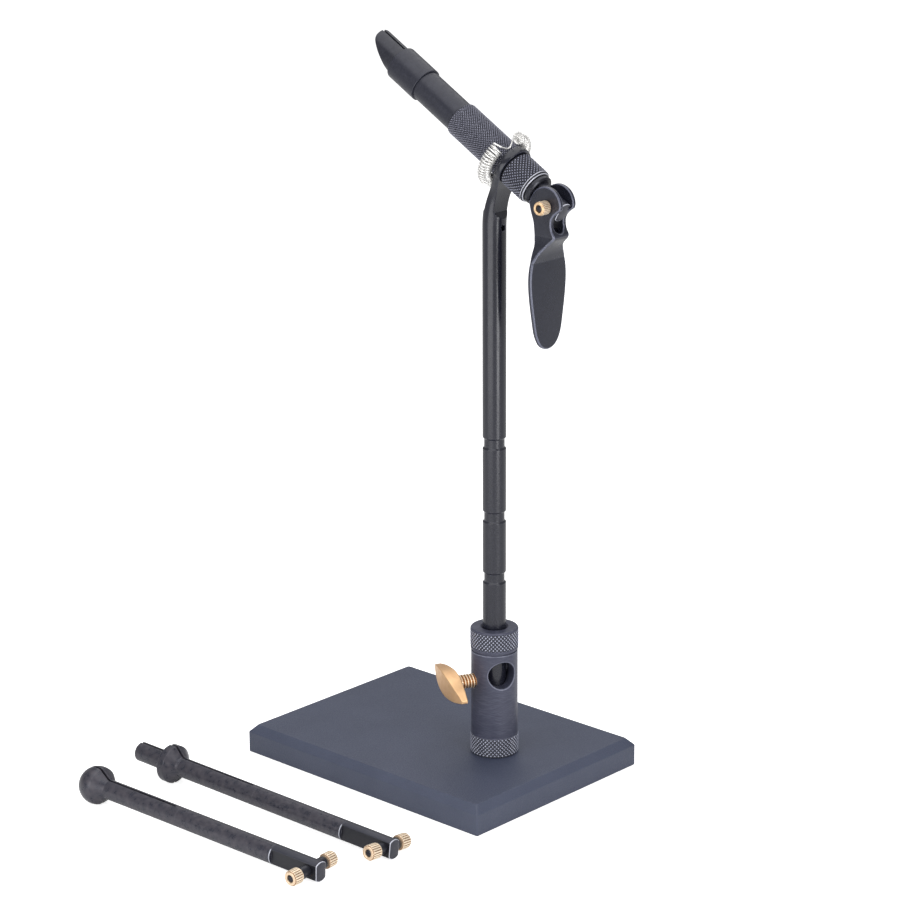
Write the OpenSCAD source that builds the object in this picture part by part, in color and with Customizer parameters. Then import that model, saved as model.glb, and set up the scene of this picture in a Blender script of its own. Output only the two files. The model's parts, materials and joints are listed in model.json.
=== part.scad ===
// Fly tying vise: a cam-lever collet vise on a pedestal base, with two spare collets beside it.
// The origin is the centre of the base plate's underside. +X points to the jaws, +Z points up.
// Turned pieces of the head are drawn along +Z from the centre of the stem's eye, and then
// laid along the barrel's axis, so their local -X side faces up.

/* [Base plate] */
// Length of the base plate, front to back
base_l = 130; // [110:1:160]
// Width of the base plate
base_w = 98; // [80:1:130]
// Thickness of the base plate
base_t = 12; // [10:0.5:20]
// Width of the bevel round the top edge
base_bevel_w = 2.8; // [1:0.1:5]
// Depth of the bevel round the top edge
base_bevel_h = 3.1; // [1:0.1:5]
// Distance of the post from the rear edge
post_setback = 34.8; // [25:0.1:60]

/* [Base bolt] */
// Diameter of the bolt's head
bolt_head_d = 14; // [12:0.1:18]
// Height of the bolt's head
bolt_head_h = 5; // [4:0.1:7]
// Diameter of the bolt's shank
bolt_d = 7.9; // [6:0.1:10]
// Length of the shank inside the post
bolt_hold = 11; // [8:0.1:13]
// Depth at which the head lies in the underside
bolt_recess = 1; // [0.5:0.1:2]
// Width across the flats of the hexagon socket
bolt_socket = 6; // [4:0.1:8]

/* [Post] */
// Height of the post above the base plate
post_h = 54.3; // [50:0.1:70]
// Diameter of the post between its knurled bands
post_d = 19.05; // [17:0.05:24]
// Diameter of the knurled band at the foot
foot_band_d = 19.6; // [19.2:0.1:25]
// Height of the knurled band at the foot
foot_band_h = 8.5; // [6:0.1:12]
// Diameter of the knurled band at the top
top_band_d = 19.7; // [19.2:0.1:25]
// Height of the knurled band at the top
top_band_h = 9.1; // [6:0.1:10]
// Width and depth of the seam under the top band
seam = 0.5; // [0.3:0.1:0.8]
// Depth of the bore for the stem
post_bore_depth = 41.5; // [38:0.1:42]
// Width of the bevel round the mouth of the bore
mouth_bevel = 0.9; // [0.5:0.1:2]
// Diameter of the sight window
window_d = 11.4; // [8:0.1:13]
// Height of the window's centre above the base plate
window_up = 35.7; // [33:0.1:38]
// Direction that the window faces, from +X towards +Y
window_turn = 154; // [0:1:360]

/* [Thumb screw] */
// Diameter of the thumb screw's shank
screw_d = 6; // [5:0.1:8]
// Height of the screw above the base plate
screw_up = 31.9; // [25:0.1:34]
// Length of shank that shows between the post and the wing
screw_out = 6.9; // [4:0.1:12]
// Width of the wing, tip to tip
wing_w = 31; // [22:0.5:36]
// Depth of the wing along the screw, in the middle
wing_depth = 5.9; // [4:0.1:10]
// Depth of the wing along the screw, at the tips
wing_tip_depth = 2.6; // [2:0.1:4]
// Thickness of the wing in the middle
wing_t = 9.1; // [5:0.1:10]
// Thickness of the wing at the tips
wing_tip_t = 1.3; // [1:0.1:3]
// Turn of the wing from level
wing_turn = 10; // [0:1:180]

/* [Stem] */
// Diameter of the stem
stem_d = 9.5; // [8:0.1:11]
// Length of the stem inside the post
stem_hold = 28.7; // [26:0.1:32]
// Height of the eye's centre above the post
eye_up = 190.4; // [160:0.1:240]
// Distance of the eye's centre behind the stem's axis
eye_back = 9.2; // [8:0.1:12]
// Diameter of the eye
eye_d = 16.7; // [15:0.1:20]
// Thickness of the flattened eye
eye_t = 3.3; // [2.5:0.1:4.4]
// Thickness of the neck at the ledge where it starts
neck_t = 4.9; // [4.5:0.1:7]
// Distance of that ledge below the eye's centre
ledge_down = 18.2; // [16:0.1:24]
// Radius of the stem's bend
bend_r = 34; // [30:0.5:40]
// Diameter of the height grooves' floor
groove_d = 8.3; // [7:0.1:9]
// Length of each height groove
groove_l = 3.4; // [2:0.1:5]
// Height of the first groove above the post
groove_1_up = 21.3; // [12:0.1:30]
// Height of the second groove above the post
groove_2_up = 47.1; // [35:0.1:60]
// Height of the third groove above the post
groove_3_up = 77.7; // [65:0.1:100]
// Diameter of the accessory hole
side_hole_d = 2.5; // [1.5:0.1:4]
// Distance of the accessory hole below the eye's centre
side_hole_down = 25; // [24:0.1:40]

/* [Head] */
// Tilt of the barrel above level
head_tilt = 29.9; // [20:0.1:40]
// Diameter of the smooth barrel
barrel_d = 12.9; // [11:0.1:13.4]
// Length of smooth barrel between the grip and the nose collar
barrel_l = 19.8; // [12:0.1:30]
// Diameter of the knurled grip
grip_d = 14.4; // [13.5:0.1:18]
// Length of the knurled grip
grip_l = 30.7; // [22:0.1:40]
// Diameter of the barrel inside the eye
journal_d = 11; // [10:0.1:12]
// Diameter of the thread that carries the adjusting knob
thread_d = 10.2; // [9.6:0.1:10.4]
// Diameter of the nose collar
nose_d = 14.3; // [13.4:0.1:16]
// Length of the nose collar
nose_l = 16.5; // [12:0.1:22]
// Diameter of the adjusting knob
knob_d = 14.8; // [13:0.1:18]
// Length of the adjusting knob
knob_l = 12.4; // [10:0.1:18]
// Diameter of the thrust flange behind the knob
flange_d = 12.6; // [11:0.1:14]
// Thickness of the thrust flange
flange_t = 2.2; // [1.5:0.1:5]

/* [Jaw collet] */
// Diameter of the collets' shank
shank_d = 8.1; // [7:0.05:8.3]
// Diameter of the jaws
jaw_d = 11.9; // [11:0.1:12.2]
// Length of jaw that stands out of the nose collar
jaw_out = 13.2; // [10:0.1:18]
// Width of the slot between the jaws
jaw_slot = 1; // [0.6:0.1:1.6]
// Thickness of the flattened tang
tang_t = 5.4; // [4.5:0.1:6]
// Length of the flattened tang
tang_l = 25; // [18:0.1:28]
// Distance of the cross pin from the tang's end
pin_from_end = 4.8; // [4:0.1:7]
// Diameter of the cross pin
pin_d = 2.9; // [2:0.1:3.4]

/* [Head nuts] */
// Diameter of the brass nuts at the lever
nut_d = 5.4; // [4.5:0.1:7]
// Length of the brass nuts at the lever
nut_l = 4.8; // [3:0.1:7]

/* [Cam lever] */
// Distance from the pin to the cam's flat
cam_reach = 8.4; // [7.5:0.1:10]
// Fall of the cam for each radian that the lever is lifted
cam_fall = 0.6; // [0.3:0.05:0.8]
// Width over the lever's two cheeks
fork_w = 9.4; // [8:0.1:12]
// Gap between the lever's two cheeks
fork_gap = 5.8; // [5:0.1:7]
// Length of the lever below the pin
lever_l = 57.2; // [45:0.1:75]
// Greatest width of the leaf
leaf_w = 20.4; // [14:0.1:26]
// Thickness of the leaf
leaf_t = 1.8; // [1.5:0.1:3.5]

/* [Material spring] */
// Diameter of the spring wire
wire_d = 0.6; // [0.4:0.05:0.7]
// Outside diameter of the coil
coil_d = 5; // [4:0.1:6]
// Radial slack of the ring round the grip, which hangs down by as much
ring_slack = 0.8; // [0:0.1:2]
// Number of curls round the ring
curls = 42; // [20:1:44]
// Opening between the ends of the ring, in degrees
ring_gap = 30; // [26:1:90]
// Place of the opening round the barrel, in degrees from the top
ring_turn = -8; // [-60:1:60]

/* [Spare ball collet] */
// Diameter of the ball
ball_d = 15.6; // [13:0.1:18]
// Distance of the ball's centre from the tang's end
ball_at = 119.6; // [100:0.1:140]
// Distance of the seam, where the taper meets the ball, behind the ball's centre
ball_seam_back = 2.2; // [1:0.1:4]
// Length of the taper behind the ball
ball_taper_l = 4.4; // [3:0.1:10]
// Length of the ball collet's tang
ball_tang_l = 23; // [18:0.1:28]
// Place of the ball collet's tang end along the base
ball_x = -48.5; // [-70:0.1:-20]
// Place of the ball collet's tang end beside the base
ball_y = 118.9; // [112:0.1:150]
// Turn of the ball collet on the table
ball_turn = 3.9; // [0:0.1:8]

/* [Spare tube collet] */
// Diameter of the rim
rim_d = 15.8; // [13:0.1:18]
// Distance of the rim's rear edge from the tang's end
rim_at = 118.3; // [100:0.1:140]
// Length of the straight rim
rim_l = 3.4; // [1:0.1:5]
// Length of the taper behind the rim
rim_taper_l = 4; // [3:0.1:10]
// Diameter of the ring where the taper starts
ring_d = 8.8; // [8.4:0.1:10]
// Length of the nose in front of the rim
tube_nose_l = 16.9; // [8:0.1:24]
// Diameter of the nose in front of the rim
tube_nose_d = 8.1; // [6:0.1:10]
// Place of the tube collet's tang end along the base
tube_x = -55.1; // [-70:0.1:-20]
// Place of the tube collet's tang end beside the base
tube_y = 85.6; // [82:0.1:92]
// Turn of the tube collet on the table
tube_turn = 3.1; // [-2:0.1:6]
// Roll of the tube collet about its own axis
tube_roll = 5.9; // [-10:0.1:10]

/* [Nuts and bushes of the spare collets] */
// Length of the slots, from the heads' widest place backwards
spare_slot_l = 43.5; // [30:0.1:60]
// Diameter of the brass nuts
spare_nut_d = 6.2; // [5.5:0.1:7.6]
// Length of the ball collet's brass nuts
ball_nut_l = 5.1; // [4:0.1:7]
// Length of the tube collet's brass nuts
tube_nut_l = 5.5; // [4:0.1:7]
// Diameter of the bushes between the tang and the nuts
bush_d = 4.8; // [4:0.1:6]
// Length of the ball collet's bushes
ball_bush_l = 4.5; // [3:0.1:6]
// Length of the tube collet's bushes
tube_bush_l = 3.2; // [2:0.1:6]
// Distance of the tube collet's cross pin from the tang's end
tube_pin_from_end = 3.7; // [3:0.1:7]

/* [Hidden] */

$fn = 96;

// Radial clearance of shafts that turn or slide in their holes
fit = 0.05;
// Gap between turning faces and beside flat pieces that swing
play = 0.15;
// Radial gap round pieces that only pass through a hole
free = 0.3;
// Overrun of every cut
over = 1;
// Edge break on the turned pieces
edge = 0.6;
// Larger bevel on the ends of knurled pieces
bevel = 1;

black = "#2b2b31";
oxide = "#34343b";
powder = "#4b4b57";
brass = "#d9a066";
nickel = "#d5d3d0";

// Places in the vise's own frame
post_x = post_setback - base_l / 2;
post_top_z = base_t + post_h;
screw_z = base_t + screw_up;
screw_turn = window_turn - 90;
eye_x = post_x - eye_back;
eye_z = post_top_z + eye_up;

// Places along the head, measured forward from the centre of the eye
grip_s = eye_t / 2 + play;
grip_end_s = grip_s + grip_l;
nose_s = grip_end_s + barrel_l;
nose_end_s = nose_s + nose_l;
jaw_end_s = nose_end_s + jaw_out;
knob_s = -eye_t / 2 - play;
knob_end_s = knob_s - knob_l;
flange_end_s = knob_end_s - flange_t;
pin_s = flange_end_s - play - cam_reach;
tang_end_s = pin_s - pin_from_end;

// The bore of the head, and the cone that closes the jaws
head_bore_d = shank_d + 2 * fit;
spigot_l_share = 0.42;
spigot_d = thread_d;
spigot_end_s = nose_s + nose_l * spigot_l_share;
cone_end_s = nose_end_s - nose_l * 0.24;
mouth_d = jaw_d + 2 * free;
cone_drop = (mouth_d - head_bore_d) / 2;

// Holds its children on the post's axis
module on_post() {
    translate([post_x, 0, 0])
        children();
}

// Lays children that are drawn along +Z on the barrel's axis, with their -X side up
module on_head() {
    translate([eye_x, 0, eye_z])
        rotate([0, 90 - head_tilt, 0])
            children();
}

// Puts children at the lever's pin, upright in the vise's own frame
module at_pin() {
    translate([eye_x + pin_s * cos(head_tilt), 0, eye_z + pin_s * sin(head_tilt)])
        children();
}

// A plain turned piece from s0 to s1 with bevelled ends
module turned(d, s0, s1, b0, b1) {
    rotate_extrude()
        polygon([[0, s0], [d / 2 - b0, s0], [d / 2, s0 + b0], [d / 2, s1 - b1], [d / 2 - b1, s1], [0, s1]]);
}

// A round hole from s0 to s1
module hole(d, s0, s1) {
    translate([0, 0, s0])
        cylinder(d = d, h = s1 - s0);
}

// Points of a smooth curve through p, with n steps between neighbours
function smooth_point(a, b, c, d, t) =
    (2 * b + (c - a) * t + (2 * a - 5 * b + 4 * c - d) * t * t + (3 * b - a - 3 * c + d) * t * t * t) / 2;
function smooth(p, n = 4) = [
    for (i = [0 : len(p) - 2], k = [0 : n - 1])
        smooth_point(p[max(i - 1, 0)], p[i], p[i + 1], p[min(i + 2, len(p) - 1)], k / n),
    p[len(p) - 1]
];

// Base plate: a bevelled slab, with a stepped hole for the bolt from below
module bevelled_profile(w) {
    polygon([[-w / 2, 0], [w / 2, 0], [w / 2, base_t - base_bevel_h], [w / 2 - base_bevel_w, base_t],
        [base_bevel_w - w / 2, base_t], [-w / 2, base_t - base_bevel_h]]);
}

module base_plate() {
    color(powder)
    difference() {
        intersection() {
            rotate([90, 0, 0])
                linear_extrude(base_w, center = true)
                    bevelled_profile(base_l);
            rotate([90, 0, 90])
                linear_extrude(base_l, center = true)
                    bevelled_profile(base_w);
        }
        on_post() {
            hole(bolt_d + 2 * fit, -over, base_t + over);
            hole(bolt_head_d + 2 * free, -over, bolt_recess + bolt_head_h);
        }
    }
}

// Bolt that holds the post from below, with a hexagon socket in its head
module base_bolt() {
    color(black)
    on_post()
        difference() {
            union() {
                turned(bolt_head_d, bolt_recess, bolt_recess + bolt_head_h, edge, 0);
                turned(bolt_d, bolt_recess + bolt_head_h / 2, base_t + bolt_hold, 0, edge);
            }
            translate([0, 0, bolt_recess - over])
                cylinder(d = bolt_socket / cos(30), h = over + bolt_head_h * 0.6, $fn = 6);
        }
}

// Post: knurled bands at foot and top, bored for the stem, with a sight window and a tapped hole
module pedestal_post() {
    r = post_d / 2;
    foot_r = foot_band_d / 2;
    top_r = top_band_d / 2;
    band_z = post_h - top_band_h;
    crown = top_band_h * 0.3;
    neck_r = r - seam;
    round_r = crown / 2;
    color(oxide)
    translate([post_x, 0, base_t])
        difference() {
            rotate_extrude()
                polygon(concat(
                    [[0, 0], [foot_r - edge, 0], [foot_r, edge], [foot_r, foot_band_h]],
                    [[r, foot_band_h + foot_r - r], [r, band_z - 2 * seam]],
                    [[neck_r, band_z - seam], [neck_r, band_z], [top_r, band_z + bevel]],
                    [for (a = [0 : 15 : 90])
                        [top_r - round_r + round_r * cos(a), post_h - crown + crown * sin(a)]],
                    [[0, post_h]]));
            hole(bolt_d + 2 * fit, -over, bolt_hold + edge);
            hole(stem_d + 2 * fit, post_h - post_bore_depth, post_h + over);
            translate([0, 0, post_h - mouth_bevel])
                cylinder(d1 = stem_d, d2 = stem_d + 4 * mouth_bevel, h = 2 * mouth_bevel);
            translate([0, 0, window_up])
                rotate([0, 90, window_turn])
                    hole(window_d, 0, top_r);
            translate([0, 0, screw_up])
                rotate([0, 90, screw_turn])
                    hole(screw_d + 2 * fit, 0, top_r);
        }
}

// Points of a shallow arc, from x = half to x = -half, that rises from y to y + rise
function arched(half, y, rise, n = 16) =
    let (r = (half * half + rise * rise) / (2 * rise))
        [for (k = [0 : n]) let (x = half - 2 * half * k / n) [x, y + rise - r + sqrt(r * r - x * x)]];

// Thumb screw: the shank's tip bears on the stem. The wing is a leaf seen along the screw,
// and seen from the side it narrows from the hub to cut tips, with a slightly bowed end.
module thumb_screw() {
    wing_s = post_d / 2 + screw_out;
    half = wing_w / 2;
    bow = wing_depth * 0.35;
    tip_s = wing_s + wing_depth - bow;
    hub = screw_d / 2;
    leaf = arched(half, wing_tip_t / 2, (wing_t - wing_tip_t) / 2);
    color(brass)
    translate([post_x, 0, screw_z])
        rotate([0, 0, screw_turn])
            rotate([0, 90, 0])
                union() {
                    turned(screw_d, stem_d / 2 + play, wing_s + wing_depth / 2, edge, 0);
                    rotate([0, 0, 90 - wing_turn])
                        intersection() {
                            rotate([90, 0, 0])
                                linear_extrude(2 * wing_t, center = true)
                                    polygon(concat(
                                        [[-hub, wing_s], [hub, wing_s], [half, tip_s - wing_tip_depth]],
                                        arched(half, tip_s, bow), [[-half, tip_s - wing_tip_depth]]));
                            linear_extrude(wing_s + 2 * wing_depth)
                                polygon([for (side = [1, -1], p = leaf) side * p]);
                        }
                }
}

// Stem: a round rod, bent back at the top. From a ledge upwards the neck is flattened, thinner
// and thinner towards the round eye that carries the barrel.
leg = eye_back / sin(head_tilt);
bend_leg = bend_r * tan(head_tilt / 2);
bend_z = eye_z - leg * cos(head_tilt) - bend_leg;
ledge_turn = asin((eye_z - ledge_down - bend_z) / bend_r);

// Point in the stem's side view, at radius r and angle turn on the bend
function bend_point(r, turn) = [post_x - bend_r + r * cos(turn), bend_z + r * sin(turn)];

// Front edge (side = 1) or rear edge (side = -1) of the flattened neck, from the ledge up
function neck_edge(side, n = 12) = [
    for (k = [0 : n])
        bend_point(bend_r + side * (neck_t + (eye_t - neck_t) * k / n) / 2,
            ledge_turn + (head_tilt - ledge_turn) * k / n)];

module stem_side() {
    top = (leg + eye_d) * [-sin(head_tilt), cos(head_tilt)];
    front = concat([bend_point(bend_r + stem_d, 0)], neck_edge(1));
    rear = concat([bend_point(bend_r - stem_d, 0)], neck_edge(-1));
    polygon(concat(
        [[post_x - stem_d, 0], [post_x + stem_d, 0]],
        front,
        [front[len(front) - 1] + top, rear[len(rear) - 1] + top],
        [for (i = [len(rear) - 1 : -1 : 0]) rear[i]]));
}

module eye_outline() {
    r = eye_d / 2;
    neck = stem_d / 2;
    circle(r);
    half = [[0, r], [r * 0.5, r * 0.866], [r * 0.9, neck * 1.32], [r * 1.3, neck * 1.1], [r * 1.7, neck]];
    polygon(concat([for (p = half) [p.x, -p.y]], [for (i = [len(half) - 1 : -1 : 0]) half[i]]));
}

module stem() {
    groove_half = groove_l / 2;
    groove_wall = stem_d - groove_d / 2;
    color(black)
    difference() {
        intersection() {
            rotate([90, 0, 0])
                linear_extrude(2 * eye_d, center = true)
                    stem_side();
            union() {
                on_post()
                    turned(stem_d, post_top_z - stem_hold, bend_z, edge, 0);
                translate([post_x - bend_r, 0, bend_z])
                    rotate([90, 0, 0])
                        rotate_extrude(angle = head_tilt)
                            translate([bend_r, 0])
                                circle(d = stem_d);
                on_head()
                    rotate([0, 90, 0])
                        hole(stem_d, 0, leg - bend_leg);
                on_head()
                    linear_extrude(2 * eye_t, center = true)
                        eye_outline();
            }
        }
        on_head()
            hole(journal_d + 2 * fit, -stem_d, stem_d);
        for (up = [groove_1_up, groove_2_up, groove_3_up])
            on_post()
                translate([0, 0, post_top_z + up])
                    rotate_extrude()
                        polygon([[stem_d, -groove_half - groove_wall], [groove_d / 2, -groove_half],
                            [groove_d / 2, groove_half], [stem_d, groove_half + groove_wall]]);
        translate([post_x, 0, eye_z - side_hole_down])
            rotate([0, 90, 0])
                hole(side_hole_d, -stem_d, stem_d);
    }
}

// Barrel: the knurled grip, the journal in the eye, the knob's thread and the spigot in the nose
module barrel_sleeve() {
    color(oxide)
    on_head()
        difference() {
            union() {
                turned(thread_d, knob_end_s + play, spigot_end_s, edge, edge);
                turned(journal_d, knob_s, grip_s + bevel, 0, 0);
                turned(grip_d, grip_s, grip_end_s, edge, bevel);
                turned(barrel_d, grip_end_s - bevel, nose_s, 0, 0);
            }
            hole(head_bore_d, knob_end_s - over, spigot_end_s + over);
        }
}

// Nose collar: slides over the spigot, and its inner cone closes the jaws
module nose_collar() {
    color(oxide)
    on_head()
        difference() {
            turned(nose_d, nose_s, nose_end_s, edge / 2, edge);
            hole(spigot_d + 2 * fit, nose_s - over, spigot_end_s);
            hole(head_bore_d, spigot_end_s - over, nose_end_s);
            translate([0, 0, cone_end_s - cone_drop])
                cylinder(d1 = head_bore_d, d2 = mouth_d, h = cone_drop);
            hole(mouth_d, cone_end_s, nose_end_s + over);
        }
}

// Adjusting knob: turns on the barrel's thread behind the eye
module adjusting_knob() {
    color(oxide)
    on_head()
        difference() {
            turned(knob_d, knob_end_s, knob_s, bevel, edge);
            hole(thread_d + 2 * fit, knob_end_s - over, knob_s + over);
        }
}

// Thrust bush: the flange behind the knob that the cam pushes on
module thrust_bush() {
    color(black)
    on_head()
        difference() {
            turned(flange_d, flange_end_s, knob_end_s, edge, 0);
            hole(head_bore_d, flange_end_s - over, knob_end_s + over);
        }
}

// Material spring: a coil bent into an open ring round the grip, drawn as one unbroken tube
coil_r = (coil_d - wire_d) / 2;
ring_r = grip_d / 2 + play + ring_slack + coil_d / 2;
ring_s = grip_s + play + coil_d / 2;
rings_per_curl = 8;
wire_sides = 6;
ring_arc = 360 - ring_gap;
ring_count = curls * rings_per_curl;

// Place on the wire's centre line after k steps
function wire_point(k) =
    let (turn = 90 + ring_turn + ring_gap / 2 + ring_arc * k / ring_count, curl = 360 * k / rings_per_curl,
        r = ring_r + coil_r * cos(curl))
        [ring_slack - r * sin(turn), r * cos(turn), ring_s + coil_r * sin(curl)];

function unit(v) = v / norm(v);

// Direction of the wire at step k
function wire_way(k) = unit(wire_point(k + 0.05) - wire_point(k - 0.05));

// Direction from the coil's centre line out to the wire at step k
function wire_out(k) =
    let (turn = 90 + ring_turn + ring_gap / 2 + ring_arc * k / ring_count,
        v = wire_point(k) - [ring_slack - ring_r * sin(turn), ring_r * cos(turn), ring_s], w = wire_way(k))
        unit(v - (v * w) * w);

// The tube's rings: one straight step at each end, square to the end faces
wire_path = concat(
    [wire_point(0) - wire_way(0) * wire_d],
    [for (k = [0 : ring_count]) wire_point(k)],
    [wire_point(ring_count) + wire_way(ring_count) * wire_d]);
wire_frame = concat([0], [for (k = [0 : ring_count]) k], [ring_count]);

function wire_ring(i) =
    let (k = wire_frame[i], w = wire_way(k), a = wire_out(k), b = cross(w, a))
        [for (j = [0 : wire_sides - 1])
            wire_path[i] + (a * cos(360 * j / wire_sides) + b * sin(360 * j / wire_sides)) * wire_d / 2];

// Least distance between neighbouring curls, less the wire's diameter
wire_gap = min([for (k = [0 : rings_per_curl * 2], m = [rings_per_curl / 2 : 0.25 : rings_per_curl * 3 / 2])
    norm(wire_point(k + m) - wire_point(k))]) - wire_d;
echo(least_gap_of_the_spring_wire = wire_gap);

module material_spring() {
    n = len(wire_path);
    color(nickel)
    on_head()
        polyhedron(
            points = [for (i = [0 : n - 1], p = wire_ring(i)) p],
            faces = concat(
                [for (i = [0 : n - 2], j = [0 : wire_sides - 1])
                    [i * wire_sides + j, i * wire_sides + (j + 1) % wire_sides, (i + 1) * wire_sides + j]],
                [for (i = [0 : n - 2], j = [0 : wire_sides - 1])
                    [i * wire_sides + (j + 1) % wire_sides, (i + 1) * wire_sides + (j + 1) % wire_sides,
                        (i + 1) * wire_sides + j]],
                [for (j = [1 : wire_sides - 2]) [0, j + 1, j]],
                [for (j = [1 : wire_sides - 2])
                    [(n - 1) * wire_sides, (n - 1) * wire_sides + j, (n - 1) * wire_sides + j + 1]]));
}

// Flattens the first stretch of a collet, from end_s, into a tang of length l, and drills it at pin
module cut_tang(end_s, l, pin) {
    for (turn = [0, 180])
        rotate([0, 0, turn])
            translate([-shank_d, tang_t / 2, end_s - over])
                cube([2 * shank_d, shank_d, l + over]);
    translate([0, 0, pin])
        rotate([90, 0, 0])
            hole(pin_d + 2 * fit, -shank_d, shank_d);
}

// Cross pin of a collet, between its two nuts' outer faces
module pin_at(s, half) {
    translate([0, 0, s])
        rotate([90, 0, 0])
            turned(pin_d, -half, half, edge / 2, edge / 2);
}

// Brass nut on the side given by side, from y0 outwards: a bevelled core with a straight knurl
module nut_at(s, side, y0, d, l, teeth) {
    depth = d * 0.035;
    function tooth(k) = (d / 2 - (k % 2) * 2 * depth) * [cos(180 * k / teeth), sin(180 * k / teeth)];
    translate([0, 0, s])
        rotate([-side * 90, 0, 0])
            difference() {
                union() {
                    turned(d - 2 * depth, y0, y0 + l, edge / 2, edge);
                    translate([0, 0, y0 + edge / 2])
                        linear_extrude(l - edge * 1.5)
                            polygon([for (k = [0 : 2 * teeth - 1]) tooth(k)]);
                }
                hole(pin_d + 2 * fit, y0 - over, y0 + l + over);
            }
}

// The jaws' underside, as shares of their radius and of the length that stands out
jaw_profile_shares = [[1, 0], [0.57, 0.22], [0.22, 0.42], [-0.11, 0.63], [-0.46, 0.85], [-0.68, 0.94],
    [-0.9, 0.98], [-1, 1]];

// Bevel on the end of every collet's tang
foot_s = edge / 2;

nut_y = fork_w / 2 + play;
pin_half = nut_y + nut_l - edge / 2;
nut_teeth = 24;
spare_nut_teeth = 22;

// Jaw collet: split jaws with a slanted underside, a cone, a long shank and the tang
module jaw_collet() {
    r = jaw_d / 2;
    shank_r = shank_d / 2;
    cone_s = cone_end_s - cone_drop;
    color(oxide)
    on_head()
        difference() {
            rotate_extrude()
                polygon([[0, tang_end_s], [shank_r - foot_s, tang_end_s], [shank_r, tang_end_s + foot_s],
                    [shank_r, cone_s], [r, cone_s + r - shank_r], [r, jaw_end_s], [0, jaw_end_s]]);
            // The underside is ground off in a slant that ends in a blunt nose
            rotate([90, 0, 0])
                linear_extrude(2 * jaw_d, center = true)
                    polygon(concat(
                        [[2 * r, nose_end_s - jaw_out / 2], [r * 1.2, nose_end_s - jaw_out * 0.1]],
                        smooth([for (p = jaw_profile_shares) [r * p[0], nose_end_s + jaw_out * p[1]]]),
                        [[-r, jaw_end_s + over], [2 * r, jaw_end_s + over]]));
            translate([-jaw_d, -jaw_slot / 2, grip_end_s])
                cube([2 * jaw_d, jaw_slot, jaw_end_s]);
            cut_tang(tang_end_s, tang_l, pin_s);
        }
}

module cross_pin() {
    color(black)
    on_head()
        pin_at(pin_s, pin_half);
}

module pin_nut_left() {
    color(brass)
    on_head()
        nut_at(pin_s, 1, nut_y, nut_d, nut_l, nut_teeth);
}

module pin_nut_right() {
    color(brass)
    on_head()
        nut_at(pin_s, -1, nut_y, nut_d, nut_l, nut_teeth);
}

// Cam lever. The side outline starts on the flat that pushes on the thrust bush and goes round
// the cam, whose distance from the pin falls evenly with the angle, then down the rear edge.
function cam_point(turn) =
    let (a = head_tilt + turn, h = cam_reach - cam_fall * turn * PI / 180)
        h * [cos(a), sin(a)] - cam_fall * [-sin(a), cos(a)];

module lever_side() {
    along = [cos(head_tilt), sin(head_tilt)];
    down = [sin(head_tilt), -cos(head_tilt)];
    flat = cam_reach * along + cam_reach * 0.45 * down;
    leaf_x = cam_reach * 0.32;
    polygon(concat(
        [for (turn = [0 : 6 : 150]) cam_point(turn)],
        smooth([[-cam_reach * 0.78, -lever_l * 0.012], [-cam_reach * 0.4, -lever_l * 0.055],
            [-cam_reach * 0.24, -lever_l * 0.1], [-cam_reach * 0.28, -lever_l * 0.155],
            [-cam_reach * 0.43, -lever_l * 0.197], [-cam_reach * 0.37, -lever_l * 0.22],
            [-cam_reach * 0.05, -lever_l * 0.25], [leaf_x - cam_reach * 0.1, -lever_l * 0.3],
            [leaf_x, -lever_l * 0.36]], 3),
        [[leaf_x, -lever_l - over], [leaf_x + leaf_t, -lever_l - over]],
        smooth([[leaf_x + leaf_t, -lever_l * 0.36], [leaf_x + leaf_t, -lever_l * 0.3],
            [cam_reach * 0.71, -lever_l * 0.235], [cam_reach * 0.74, -lever_l * 0.18],
            [cam_reach * 0.81, -lever_l * 0.115], [cam_reach * 0.98, -lever_l * 0.05], flat], 3)));
}

module lever_front() {
    half = leaf_w / 2;
    side = smooth([[fork_w / 2, -lever_l * 0.215], [fork_w * 0.53, -lever_l * 0.265],
        [half * 0.68, -lever_l * 0.325], [half * 0.9, -lever_l * 0.395], [half, -lever_l * 0.5],
        [half * 0.96, -lever_l * 0.62], [half * 0.83, -lever_l * 0.77], [half * 0.7, -lever_l * 0.885],
        [half * 0.5, -lever_l * 0.955], [half * 0.25, -lever_l * 0.99], [0, -lever_l]], 4);
    right = concat([[fork_w / 2, 2 * cam_reach]], side);
    polygon(concat(right, [for (i = [len(right) - 2 : -1 : 0]) [-right[i].x, right[i].y]]));
}

module cam_lever() {
    slot_z = -lever_l * 0.185;
    color(black)
    at_pin()
        difference() {
            intersection() {
                rotate([90, 0, 0])
                    linear_extrude(2 * leaf_w, center = true)
                        lever_side();
                rotate([90, 0, 90])
                    linear_extrude(6 * cam_reach, center = true)
                        lever_front();
            }
            translate([-3 * cam_reach, -fork_gap / 2, slot_z + fork_gap / 2])
                cube([6 * cam_reach, fork_gap, 4 * cam_reach]);
            translate([-3 * cam_reach, 0, slot_z + fork_gap / 2])
                rotate([0, 90, 0])
                    cylinder(d = fork_gap, h = 6 * cam_reach);
            rotate([90, 0, 0])
                hole(pin_d + 2 * fit, -fork_w, fork_w);
        }
}

// Spare collets lie on the table, on the ends of their tangs and the widest place of their heads.
// The place of the ball is where it touches, and the place of the rim is its rear edge.
ball_tilt = asin((ball_d - shank_d) / 2 / (ball_at - foot_s));
ball_lie = ball_d / 2 - ball_at * sin(ball_tilt);
rim_tilt = atan((rim_d - shank_d) / 2 / (rim_at - foot_s));
rim_lie = rim_d / 2 * cos(rim_tilt) - rim_at * sin(rim_tilt);

module lay_ball_collet() {
    translate([ball_x, ball_y, ball_lie])
        rotate([0, 90 - ball_tilt, ball_turn])
            children();
}

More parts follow.
